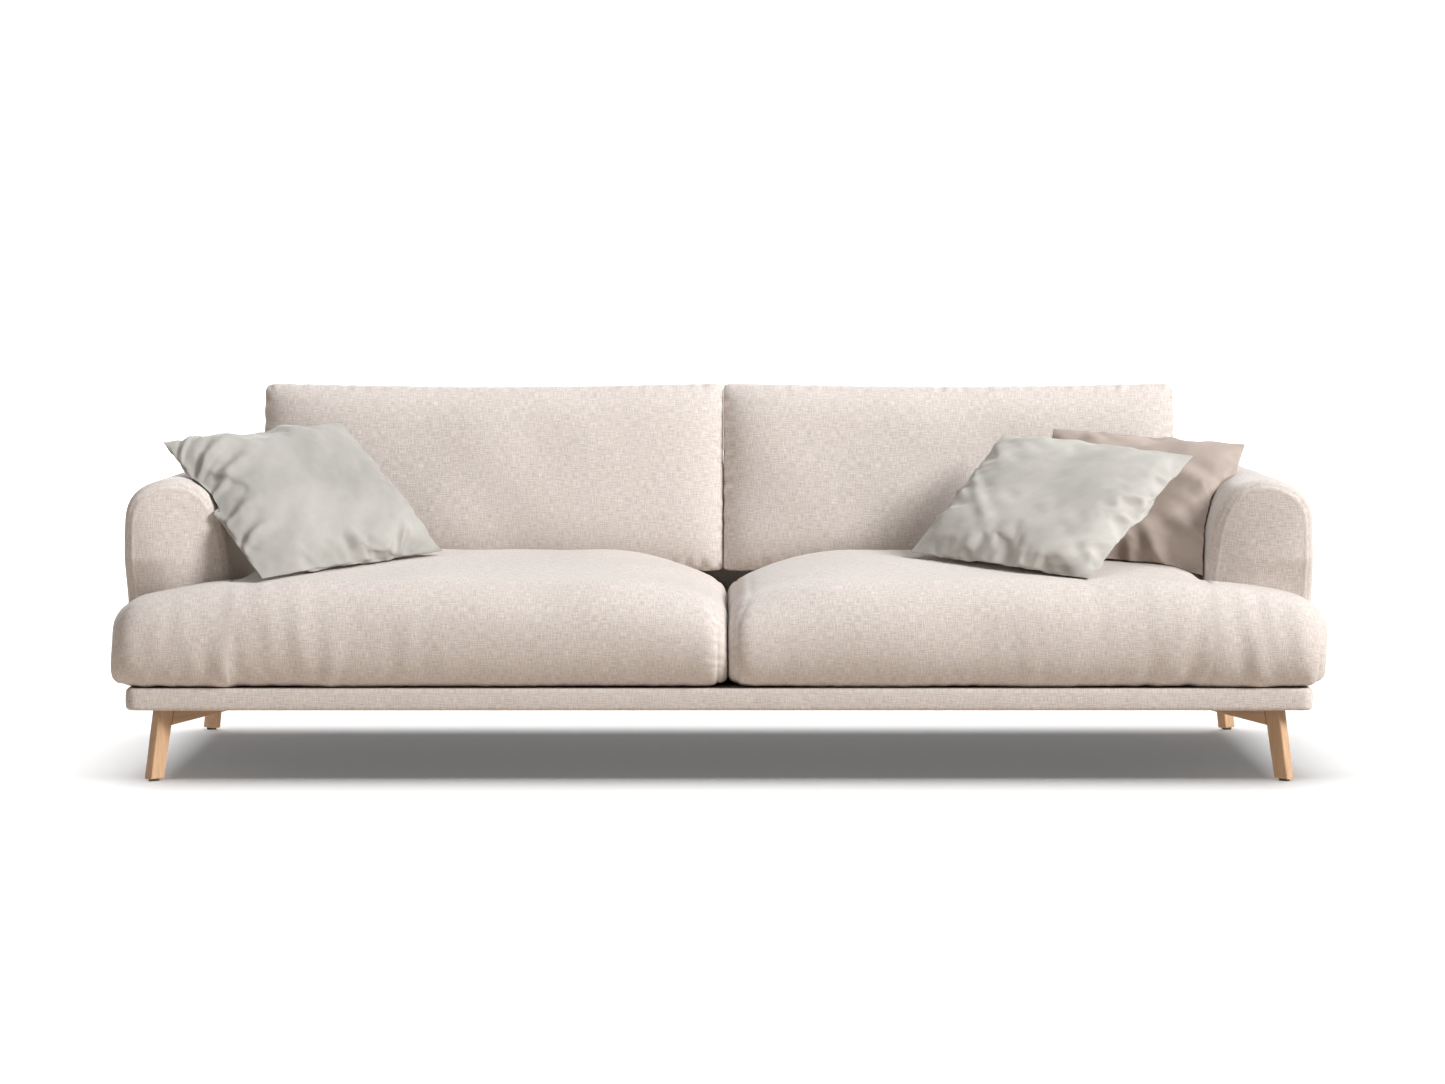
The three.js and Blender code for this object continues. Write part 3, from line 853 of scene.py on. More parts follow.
    def wrinkles(self, skin: Skin) -> Array:
        """Seams, puckers and soft folds.

        Args:
            skin: The cushion's smooth skin.

        Returns:
            Distances outward, in metres.
        """
        swell, crease, gather = 0.0022, 0.0025, 0.0013
        inner_pull, outer_pull = 0.0026, 0.0014
        seam_width, pinch_width = 0.0034, 0.026
        x, y, z = (skin.points[..., k] for k in range(3))
        seed = 11 if self.side is Side.LEFT else 23
        front = np.clip((-0.36 - y) / 0.08, 0, 1)
        low = np.clip((0.36 - z) / 0.12, 0, 1)
        around = np.broadcast_to(skin.around[:-1], x.shape)
        uneven = swell * Ripples(seed, 0.24).at(x + 0.5 * y, z + 0.8 * y)
        folds = Ripples(seed + 1, 0.075, 0.0, 0.5).at(x, around)
        sharp = np.sign(folds) * np.abs(folds) ** 1.2
        outer = np.clip((x - 0.55) / 0.35, 0.15, 1)
        vertical = crease * sharp * front * (0.45 + 0.55 * low) * outer
        pucker_wave = Ripples(seed + 2, 0.034, 0.0, 0.3).at(x, around)
        pucker = gather * pucker_wave * bell(z - self.base - 0.012, 0.02) * (y < -0.3)
        seam_inner = self.seam + 0.019 + 0.030 * np.clip((z - 0.33) / 0.06, 0, 1) * (y < 0.1)
        seam_outer = self.wing - 0.022 - 0.014 * np.clip((z - 0.33) / 0.05, 0, 1)
        total = uneven + vertical + pucker
        for place, pull in ((seam_inner, inner_pull), (seam_outer, outer_pull)):
            gap = x - place
            stitch = 1 + 0.25 * Ripples(seed + 5, 0.05).at(around, around * 0)
            total = total - pull * bell(gap, seam_width) * stitch
            pinch = Ripples(seed + 3, 0.030, 0.0, 0.2).at(around, around * 0)
            total = total + 0.5 * pull * pinch * bell(gap, pinch_width)
        return total

    def build(self, finishes: Finishes) -> bpy.types.Object:
        """Builds the cushion.

        Args:
            finishes: The sofa's finishes.

        Returns:
            The piece.
        """
        rings = np.array([self.ring(x) for x in self.stations()])
        skin = Skin(rings, caps=9)
        skin.push(self.wrinkles(skin))
        skin.points[..., 2] = np.maximum(skin.points[..., 2], self.base - 0.0005)
        x = skin.points[..., 0]
        skin.points[..., 0] = self.side.value * x + self.meeting * (1 - x / self.wing)
        obj = skin.build(f"seat_cushion_{self.side.label}_cover", finishes.cloth)
        subdivide(obj)
        body = Body.SEAT_LEFT if self.side is Side.LEFT else Body.SEAT_RIGHT
        nodes = [f"seat_cover_{self.side.label}", f"seat_foam_{self.side.label}"]
        finish_soft(obj, body, nodes)
        return obj


# ---- Back cushions --------------------------------------------------------------------------------


@dataclass
class BackCushion:
    """A loose back cushion that leans on the backrest."""

    side: Side
    width: float = 1.0225
    height: float = 0.430
    thickness: float = 0.168
    bottom: tuple[float, float] = (0.246, 0.380)
    meeting: float = 0.009
    cells: tuple[int, int] = (190, 96)
    corner: float = 0.022
    flare: float = 0.010
    overlap: float = 0.0055
    half_gap: float = 0.0003

    def half_thickness(self, pad: SewnPad) -> Array:
        """How far each panel stands from the middle.

        Args:
            pad: The flat cushion.

        Returns:
            Distances, in metres, shaped like the pad.
        """
        across = np.clip(1 - np.abs(pad.u) ** 9, 0, 1) ** 0.5
        up = np.clip(1 - np.abs(pad.v) ** 5.0, 0, 1) ** 0.5
        crowned = 0.78 + 0.22 * np.cos(pad.u * 1.45) * np.cos(pad.v * 1.3)
        return self.thickness / 2 * across * up * crowned

    def build(self, finishes: Finishes) -> bpy.types.Object:
        """Builds the cushion.

        Args:
            finishes: The sofa's finishes.

        Returns:
            The piece.
        """
        pad = SewnPad(self.width, self.height, self.cells, self.corner)
        self._gather_edges(pad)
        half = self.half_thickness(pad)
        seed = 41 if self.side is Side.LEFT else 57
        edge = np.minimum((1 - np.abs(pad.u)) * self.width / 2, (1 - np.abs(pad.v)) * self.height / 2)
        run = np.where((1 - np.abs(pad.u)) * self.width < (1 - np.abs(pad.v)) * self.height, pad.y, pad.x)
        for sign, panel in ((-1, pad.front), (1, pad.rear)):
            uneven = 0.0022 * Ripples(seed + sign, 0.26).at(pad.x, pad.y)
            pinch = Ripples(seed + 2 + sign, 0.036, 0.0, 0.1).at(run, run * 0)
            pucker = 0.0030 * pinch * bell(edge - 0.006, 0.016)
            panel[..., 2] = -sign * (half + (uneven + pucker) * (edge > 1e-6))
        obj = pad.build(f"back_cushion_{self.side.label}_cover", finishes.cloth)
        points = coordinates(obj)
        across, up, out = points.T
        outward = np.clip(self.side.value * across / self.width + 0.5, 0, 1)
        across = across + self.side.value * self.flare * outward * np.clip((up + 0.06) / 0.12, 0, 1)
        y, z = -out, up + self.height / 2
        centre = self.side.value * (self.width / 2 - self.overlap)
        turned_y = self.bottom[0] + y * math.cos(LEAN) + z * math.sin(LEAN)
        turned_z = self.bottom[1] - y * math.sin(LEAN) + z * math.cos(LEAN)
        away = np.maximum(self.side.value * (centre + across), self.half_gap)
        x = self.side.value * away + self.meeting * (1 - away / self.width)
        set_coordinates(obj, np.stack([x, turned_y, turned_z], axis=1))
        subdivide(obj)
        body = Body.BACK_LEFT if self.side is Side.LEFT else Body.BACK_RIGHT
        finish_soft(obj, body, [f"back_cushion_{self.side.label}"])
        return obj

    def _gather_edges(self, pad: SewnPad) -> None:
        """Scallops the sewn edge, where the seam draws the cloth in.

        Args:
            pad: The flat cushion, changed in place.
        """
        seed = 71 if self.side is Side.LEFT else 83
        near_x = bell((1 - np.abs(pad.u)) * self.width / 2, 0.02)
        near_y = bell((1 - np.abs(pad.v)) * self.height / 2, 0.02)
        wave = Ripples(seed, 0.042, 0.0, 0.1)
        shift_x = 0.0024 * (wave.at(pad.y, pad.y * 0) + 0.2) * near_x * np.sign(pad.u)
        shift_y = 0.0008 * wave.at(pad.x + 5, pad.x * 0) * near_y * np.sign(pad.v)
        dip = -0.009 * np.cos(pad.u * math.pi / 2) * np.clip(pad.v, 0, 1) ** 3
        for panel in (pad.front, pad.rear):
            panel[..., 0] += shift_x
            panel[..., 1] += shift_y + dip


# ---- Throw pillows --------------------------------------------------------------------------------


class Resting:
    """What the throw pillows press against: the seats, the arms and the back cushions."""

    gap: float = 0.004
    seat_gap: float = 0.003
    arm_inner: float = 1.01
    arm_front: float = -0.316

    def __init__(self) -> None:
        """Takes the shapes of the neighbours."""
        self.seat = SeatCushion(Side.RIGHT)
        self.back = BackCushion(Side.RIGHT)
        arm = Arm(Side.RIGHT)
        self.arm = arm.outline()[: arm.run_count]

    def seat_height(self, x: Array, y: Array) -> Array:
        """The height of the seat cushions' top at places on the sofa.

        Args:
            x: Places across.
            y: Places from front to back.

        Returns:
            Heights, in metres.
        """
        out = np.abs(x)
        seat = self.seat
        outer = seat.arm_side + seat.crown_overrun - out
        swell = seat.crown * seat.share(out - seat.seam) * seat.share(outer)
        heights = [float(seat.top_curve(np.array(b), float(s), float(a))) for a, b, s in zip(out, y, swell)]
        return np.array(heights)

    def settle(self, points: Array) -> Array:
        """Presses points out of the neighbours.

        Args:
            points: A pillow's points.

        Returns:
            The points, flattened where the pillow rests.
        """
        x, y, z = points.T.copy()
        back_y, back_z = self.back.bottom
        face = back_y - self.back.thickness / 2 / math.cos(LEAN) + (z - back_z) * math.tan(LEAN)
        y = np.where(z > 0.40, np.minimum(y, face - self.gap), y)
        z = np.maximum(z, self.seat_height(x, y) + self.seat_gap)
        side = np.sign(x)
        out = np.abs(x)
        rise = self.arm[: int(np.argmax(self.arm[:, 1])) + 1]
        inner = np.interp(z, rise[:, 1], rise[:, 0]) - self.gap
        top = np.interp(out, rise[:, 0], rise[:, 1]) + self.gap
        inside = (y > self.arm_front) & (out > inner) & (z < top) & (out > self.arm_inner)
        # A point inside the arm leaves it by the shortest way: sideways, up or forward.
        sideways, upward, forward = out - inner, top - z, y - self.arm_front
        least = np.minimum(np.minimum(sideways, upward), forward)
        out = np.where(inside & (sideways == least), inner, out)
        z = np.where(inside & (upward == least), top, z)
        y = np.where(inside & (forward == least), self.arm_front, y)
        return np.stack([out * side, y, z], axis=1)


class Edge(Enum):
    """A pillow's sewn edges, as the pillow stands upright."""

    LEFT = (-1, 0)
    RIGHT = (1, 0)
    LOW = (0, -1)
    TOP = (0, 1)


@dataclass(frozen=True)
class Fold:
    """A fold that starts at a pillow's seam and runs out towards its middle."""

    edge: Edge
    place: float
    length: float
    lean: float = 0.0
    height: float = 0.005
    width: float = 0.012

    def at(self, x: Array, y: Array, half: float) -> Array:
        """How far the fold lifts the cloth.

        Args:
            x: Flat places across the pillow, in metres.
            y: Flat places up the pillow, in metres.
            half: Half the pillow's side, in metres.

        Returns:
            Heights, in metres.
        """
        nx, ny = self.edge.value
        start = (2 * self.place - 1) * half
        depth = half - (x * nx + y * ny)
        aside = x * abs(ny) + y * abs(nx) - start - depth * math.tan(self.lean)
        reach = np.clip(depth / self.length, 0, 1)
        swell = np.sin(math.pi * np.clip(reach * 0.86 + 0.10, 0, 1)) ** 1.2
        width = self.width * (0.7 + 0.9 * reach)
        valleys = 1.7 * width
        ridge = bell(aside, width) - 0.55 * bell(aside - valleys, width) - 0.35 * bell(aside + valleys, width)
        return self.height * swell * ridge * (depth < self.length)


@dataclass
class ThrowPillow:
    """A square velvet pillow, stuffed and laid in place between its four corners."""

    name: str
    node: str
    body: Body
    slot: str
    corners: tuple[tuple[float, float, float], ...]
    folds: tuple[Fold, ...] = ()
    cut: float = 0.50
    pressure: float = 3.2
    plumpness: float = 0.66
    straightness: float = 0.85
    seed: int = 5
    cells: int = 72
    loft: float = 0.014
    seam_band: float = 0.07

    def rim(self, pad: SewnPad) -> Array:
        """Marks the points on the sewn edge."""
        return (np.abs(pad.u) > 1 - 1e-9) | (np.abs(pad.v) > 1 - 1e-9)

    def shares(self, points: Array, pad: SewnPad, axis: int) -> Array:
        """How far across, or up, each point is, with the drawn-in edges let out again.

        Args:
            points: The pillow's points about its own middle.
            pad: The flat pillow.
            axis: 0 across, 1 up.

        Returns:
            Shares of about 0 to 1.
        """
        flat = (pad.u, pad.v)[axis].ravel()
        panel = points[: flat.size]
        other = 1 - axis
        low, high = (
            np.interp(points[:, other], *panel[flat == end][:, [other, axis]].T) for end in (-1.0, 1.0)
        )
        spread = points[:, axis].max() - points[:, axis].min()
        plain = points[:, axis] / spread + 0.5
        straight = (points[:, axis] - low) / (high - low)
        return plain + (straight - plain) * self.straightness

    def place(self, points: Array, pad: SewnPad) -> Array:
        """Lays the stuffed pillow where it rests.

        Args:
            points: The pillow's points about its own middle.
            pad: The flat pillow.

        Returns:
            The points in the sofa's frame.
        """
        low_left, low_right, top_left, top_right = (np.array(c) for c in self.corners)
        normal = np.cross(low_right - low_left, top_left - low_left)
        normal /= np.linalg.norm(normal)
        s, t = (self.shares(points, pad, axis)[:, None] for axis in range(2))
        low = low_left * (1 - s) + low_right * s
        top = top_left * (1 - s) + top_right * s
        return low * (1 - t) + top * t + points[:, 2:] * normal

    def build(self, material: bpy.types.Material) -> bpy.types.Object:
        """Builds the pillow.

        Args:
            material: Its velvet.

        Returns:
            The piece.
        """
        pad = SewnPad(self.cut, self.cut, (self.cells, self.cells))
        bow = np.clip((1 - pad.u**4) * (1 - pad.v**4), 0, 1) ** 0.5
        rough = Ripples(self.seed, 0.07).at(pad.x, pad.y) * 0.003
        pad.front[..., 2] = bow * (self.loft + rough)
        pad.rear[..., 2] = -bow * (self.loft - rough)
        obj = pad.build(self.name, material)
        group = obj.vertex_groups.new(name="seam")
        rim = self.rim(pad).ravel()
        group.add(np.nonzero(rim)[0].tolist(), 1.0, "REPLACE")
        Stuffing(self.pressure, frames=30, bending=2.0, shrink=0.02).fill(obj, "seam")
        points = coordinates(obj)
        depth = self.cut / 2 - np.abs(points[:, :2]).max(axis=1)
        points[:, 2] *= self.plumpness * (0.35 + 0.65 * np.clip(depth / self.seam_band, 0, 1))
        front = slice(0, rim.size)
        inside = np.clip(np.minimum(1 - np.abs(pad.u), 1 - np.abs(pad.v)).ravel() / 0.03, 0, 1)
        for fold in self.folds:
            points[front, 2] += fold.at(pad.x.ravel(), pad.y.ravel(), self.cut / 2) * inside
        set_coordinates(obj, Resting().settle(self.place(points, pad)))
        self._crease(obj, rim)
        subdivide(obj)
        finish_soft(obj, self.body, [self.node])
        return obj

    def _crease(self, obj: bpy.types.Object, rim: Array) -> None:
        """Keeps the sewn edge crisp when the pillow is smoothed.

        Args:
            obj: The pillow.
            rim: True for each of the front panel's points on the edge.
        """
        ends = np.array([tuple(edge.vertices) for edge in obj.data.edges])
        sewn = (ends < rim.size).all(axis=1) & rim[np.minimum(ends, rim.size - 1)].all(axis=1)
        crease = obj.data.attributes.new("crease_edge", "FLOAT", "EDGE")
        crease.data.foreach_set("value", sewn.astype(np.float32) * 0.9)


# ---- Arms, backrest and plinth --------------------------------------------------------------------


@dataclass
class Arm:
    """An upholstered arm, rounded over its top, with a boxed front panel that turns in slightly."""

    side: Side
    turn_in: float = 0.2
    half_size: tuple[float, float] = (0.108, 0.21)
    front: float = -0.302
    back: float = 0.478
    base: float = 0.1945
    inner: float = 1.05
    middle: tuple[float, float] = (1.135, 0.40)
    edge_round: tuple[float, float] = (0.026, 0.85)
    bulge: tuple[float, float] = (0.012, 0.004)
    run_count: int = 150

    def outline(self) -> Array:
        """The right arm's outline in X and Z, going round from its inner foot.

        Returns:
            The outline's points: the run over the arm first, then the base.
        """
        corners = np.array([
            (1.018, self.base), (1.019, 0.40), (1.028, 0.48), (1.043, 0.545), (1.070, 0.592), (1.10, 0.612),
            (1.143, 0.621), (1.183, 0.612), (1.218, 0.593), (1.2385, 0.560), (1.2415, 0.50),
            (1.2415, 0.40), (1.240, self.base),
        ])
        return smooth_path(corners, self.run_count, 40)

    def build(self, finishes: Finishes) -> bpy.types.Object:
        """Builds the arm.

        Args:
            finishes: The sofa's finishes.

        Returns:
            The piece.
        """
        outline = self.outline()
        middle = np.array(self.middle)
        radius, share = self.edge_round
        start = np.array([0, 0.0010, 0.0028, 0.005, 0.008, 0.012, 0.016, 0.022, 0.030, 0.040])
        body = np.linspace(self.front + 0.055, self.back - 0.055, 62)
        stations = np.concatenate([self.front + start, body, self.back - start[::-1]])
        rings = []
        for y in stations:
            inset = float(rounding(np.array(min(y - self.front, self.back - y)), radius)) * share
            size = np.array([(half - inset) / half for half in self.half_size])
            xz = middle + (outline - middle) * size
            xz[:, 1] = np.maximum(xz[:, 1], self.base)
            rings.append(np.stack([xz[:, 0], np.full(len(xz), y), xz[:, 1]], axis=1))
        skin = Skin(np.array(rings), caps=26, bulge=self.bulge)
        near = np.clip((self.front + 0.25 - skin.points[..., 1]) / 0.25, 0, 1)
        near = near * (0.15 + 0.85 * np.clip((skin.points[..., 2] - 0.37) / 0.08, 0, 1))
        skin.points[..., 1] += self.turn_in * (self.inner - skin.points[..., 0]) * near
        skin.push(self.details(skin))
        skin.points[..., 0] *= self.side.value
        skin.points[..., 2] = np.maximum(skin.points[..., 2], self.base)
        obj = skin.build(f"arm_cover_{self.side.label}", finishes.cloth)
        subdivide(obj)
        finish_soft(obj, Body.FRAME, [f"arm_upholstery_{self.side.label}"])
        return obj

    def details(self, skin: Skin) -> Array:
        """The front and rear panels' seams, and slight unevenness.

        Args:
            skin: The arm's smooth skin.

        Returns:
            Distances outward, in metres.
        """
        seed = 101 if self.side is Side.LEFT else 113
        x, y, z = (skin.points[..., k] for k in range(3))
        along = np.broadcast_to(skin.along[:, None], x.shape)
        above = z > self.base + 0.004
        uneven = 0.0018 * Ripples(seed, 0.20).at(x + 0.6 * y, z + 0.7 * y) * above
        seam_at = skin.along[skin.cap_count + 2]
        seam = -0.0022 * bell(along - seam_at, 0.0030) * above
        welt = 0.0008 * bell(along - seam_at + 0.007, 0.004) * above
        rear_at = skin.along[-skin.cap_count + 3]
        rear = -0.002 * bell(along - rear_at, 0.004) * above
        return uneven + seam + welt + rear


def smooth_path(corners: Array, count: int, base_count: int) -> Array:
    """A smooth closed outline through an open run of corners, closed by a straight base.

    Args:
        corners: The open run, one row each.
        count: Points along the run.
        base_count: Points along the straight base.

    Returns:
        The closed outline's points.
    """
    run = corners
    for _ in range(3):
        cut = np.empty((2 * (len(run) - 1), 2))
        cut[0::2] = 0.75 * run[:-1] + 0.25 * run[1:]
        cut[1::2] = 0.25 * run[:-1] + 0.75 * run[1:]
        run = np.concatenate([run[:1], cut, run[-1:]])
    length = np.concatenate([[0.0], np.cumsum(np.linalg.norm(np.diff(run, axis=0), axis=1))])
    even = np.linspace(0, length[-1], count)
    arc = np.stack([np.interp(even, length, run[:, k]) for k in range(2)], axis=1)
    share = np.linspace(0, 1, base_count + 2)[1:-1, None]
    return np.concatenate([arc, arc[-1] * (1 - share) + arc[0] * share])


@dataclass
class Backrest:
    """The fixed backrest behind the loose back cushions."""

    half_width: float = 1.017
    base: float = 0.1945
    top: float = 0.612
    front: float = 0.300
    back: float = 0.480

    def build(self, finishes: Finishes) -> bpy.types.Object:
        """Builds the backrest.

        Args:
            finishes: The sofa's finishes.

        Returns:
            The piece.
        """
        front_top = self.front + (self.top - self.base) * math.tan(LEAN)
        corners = np.array([
            (self.front, self.base),
            (self.front + 0.38 * (front_top - self.front), self.base + 0.38 * (self.top - self.base)),
            (front_top - 0.006, self.top - 0.03), (front_top + 0.004, self.top - 0.008),
            (front_top + 0.026, self.top), (0.458, self.top), (0.474, self.top - 0.005),
            (self.back, self.top - 0.022), (self.back, 0.40), (self.back, self.base),
        ])
        outline = smooth_path(corners, 130, 26)
        start = np.array([0, 0.001, 0.003, 0.006, 0.010])
        body = np.linspace(-self.half_width + 0.02, self.half_width - 0.02, 150)
        stations = np.concatenate([-self.half_width + start, body, self.half_width - start[::-1]])
        middle, half_height, rear_face = np.array([0.40, 0.40]), 0.21, 0.47
        rings = []
        for x in stations:
            inset = float(rounding(np.array(self.half_width - abs(x)), 0.008))
            yz = middle + (outline - middle) * (1 - inset / half_height)
            rings.append(np.stack([np.full(len(yz), x), yz[:, 0], np.maximum(yz[:, 1], self.base)], axis=1))
        skin = Skin(np.array(rings), caps=4)
        x, y, z = (skin.points[..., k] for k in range(3))
        above = z > self.base + 0.004
        uneven = 0.0012 * Ripples(131, 0.3).at(x, z) * above
        seams = sum(bell(x - place, 0.004) for place in (-0.002, 0.002)) * (y > rear_face)
        top_seam = bell(z - (self.top - 0.034), 0.004) * (y > rear_face)
        skin.push(uneven - 0.0018 * (np.clip(seams, 0, 1) + top_seam))
        skin.points[..., 2] = np.maximum(skin.points[..., 2], self.base)
        obj = skin.build("backrest_cover", finishes.cloth)
        finish_soft(obj, Body.FRAME, ["backrest_upholstery"])
        return obj


@dataclass
class Plinth:
    """The upholstered band round the base."""

    half_width: float = 1.225
    front: float = -0.450
    back: float = 0.470
    low: float = 0.148
    high: float = 0.194
    wall: float = 0.0118
    corner: float = 0.024
    edge: float = 0.0085
    swell: float = 0.0009
    spacing: float = 0.012

    def plan(self) -> Array:
        """The outline seen from above.

        Returns:
            X and Y of each point, and X and Y of its outward direction: four columns.
        """
        rows = []
        xs, ys = self.half_width - self.corner, (self.front + self.corner, self.back - self.corner)
        arcs = ((xs, ys[0], -90), (xs, ys[1], 0), (-xs, ys[1], 90), (-xs, ys[0], 180))
        for number, (cx, cy, start) in enumerate(arcs):
            for degrees in np.linspace(start, start + 90, 9):
                a = math.radians(degrees)
                along_x, along_y = math.cos(a), math.sin(a)
                rows.append((cx + self.corner * along_x, cy + self.corner * along_y, along_x, along_y))
            nx, ny, _ = arcs[(number + 1) % 4]
            a = math.radians(start + 90)
            end = (nx + self.corner * math.cos(a), ny + self.corner * math.sin(a))
            here = rows[-1]
            steps = int(math.hypot(end[0] - here[0], end[1] - here[1]) / self.spacing)
            for share in np.linspace(0, 1, steps)[1:-1]:
                x, y = (here[k] + (end[k] - here[k]) * share for k in range(2))
                rows.append((x, y, here[2], here[3]))
        return np.array(rows)

    def build(self, finishes: Finishes) -> bpy.types.Object:
        """Builds the band.

        Args:
            finishes: The sofa's finishes.

        Returns:
            The piece.
        """
        plan = self.plan()
        height, edge = self.high - self.low, self.edge
        section = []
        for cz, start in ((edge, -90), (height - edge, 0)):
            for degrees in np.linspace(start, start + 90, 6):
                a = math.radians(degrees)
                section.append((edge * (math.cos(a) - 1), cz + edge * math.sin(a)))
            if start == -90:
                section += [
                    (self.swell * math.sin(math.pi * t), edge + (height - 2 * edge) * t)
                    for t in np.linspace(0, 1, 8)[1:-1]
                ]
        section += [(-self.wall, height - 0.0005), (-self.wall, 0.0005)]
        section = np.array(section)
        inset, up = section[:, 0], section[:, 1]
        x = plan[:, None, 0] + plan[:, None, 2] * inset
        y = plan[:, None, 1] + plan[:, None, 3] * inset
        z = np.broadcast_to(self.low + up, x.shape)
        skin = Skin(np.stack([x, y, z], axis=2), looped=True)
        along = np.broadcast_to(skin.along[:, None], x.shape)
        outer = np.broadcast_to(inset > -0.004, x.shape)
        skin.push(0.0006 * Ripples(151, 0.12).at(along, z) * outer)
        obj = skin.build("plinth_band", finishes.cloth)
        finish_soft(obj, Body.FRAME, ["plinth_cover"])
        return obj


# ---- Wood, metal and lining -----------------------------------------------------------------------


class Joinery:
    """Gives every carried-over solid its finish."""

    def __init__(self, finishes: Finishes) -> None:
        """Keeps the finishes.

        Args:
            finishes: The sofa's finishes.
        """
        self.finishes = finishes

    def finish_for(self, name: str) -> tuple[bpy.types.Material, str, float] | None:
        """Finds a solid's finish by its name.

        Args:
            name: The solid's name.

        Returns:
            The material, the material slot and the edge rounding in metres, or None if it has none.
        """
        f = self.finishes
        rising = name.endswith(("front_left", "rear_right"))
        table: list[tuple[str, bpy.types.Material, str, float]] = [
            ("leg_post", f.beech_upright, "beech", 0.0012),
            ("leg_bracket", f.beech_rising if rising else f.beech_falling, "beech", 0.0008),
            ("leg_bolt", f.steel, "steel", 0.0),
            ("sinuous_spring", f.steel, "steel", 0.0),
            ("foot_pad", f.felt, "felt", 0.0006),
            ("dust_cover", f.black_cloth, "black_cloth", 0.0),
            ("seat_deck_cloth", f.deck_cloth, "woven_fabric", 0.0),
            ("arm_front_board", f.birch, "birch_ply", 0.0),
            ("arm_rear_board", f.birch, "birch_ply", 0.0),
            ("arm_top_rail", f.pine_y, "pine", 0.002),
            ("back_post", f.pine_upright, "pine", 0.002),
            ("back_top_rail", f.pine_x, "pine", 0.002),
            ("corner_block", f.pine_x, "pine", 0.001),
            ("frame_front_rail", f.pine_x, "pine", 0.0),
            ("frame_rear_rail", f.pine_x, "pine", 0.0),
            ("frame_", f.pine_y, "pine", 0.0),
        ]
        return next((row[1:] for row in table if name.startswith(row[0])), None)

    def dress(self) -> None:
        """Dresses every shown solid."""
        for name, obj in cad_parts.items():
            found = self.finish_for(name)
            if obj.hide_render or found is None:
                continue
            material, slot, edge = found
            obj.data.materials.clear()
            obj.data.materials.append(material)
            if edge > 0:
                bevel = obj.modifiers.new("edges", "BEVEL")
                bevel.width = edge
                bevel.segments = 2
                bevel.limit_method = "ANGLE"
                bevel.harden_normals = False
        log.info("joinery: %d solids", len(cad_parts))


# ---- Studio ---------------------------------------------------------------------------------------


@dataclass(frozen=True)
class SoftBox:
    """A square studio light aimed at the sofa."""

    name: str
    place: tuple[float, float, float]
    size: float
    power: float
    colour: tuple[float, float, float]

    def hang(self, target: tuple[float, float, float]) -> bpy.types.Object:
        """Hangs the light.

        Args:
            target: What it is aimed at.

        Returns:
            The light.
        """
        data = bpy.data.lights.new(self.name, "AREA")
        data.shape = "SQUARE"
        data.size = self.size
        data.energy = self.power
        data.color = self.colour
        obj = bpy.data.objects.new(self.name, data)
        obj.location = self.place
        obj.rotation_euler = (Vector(target) - Vector(self.place)).to_track_quat("-Z", "Y").to_euler()
        bpy.context.scene.collection.objects.link(obj)
        obj.visible_camera = False
        return obj


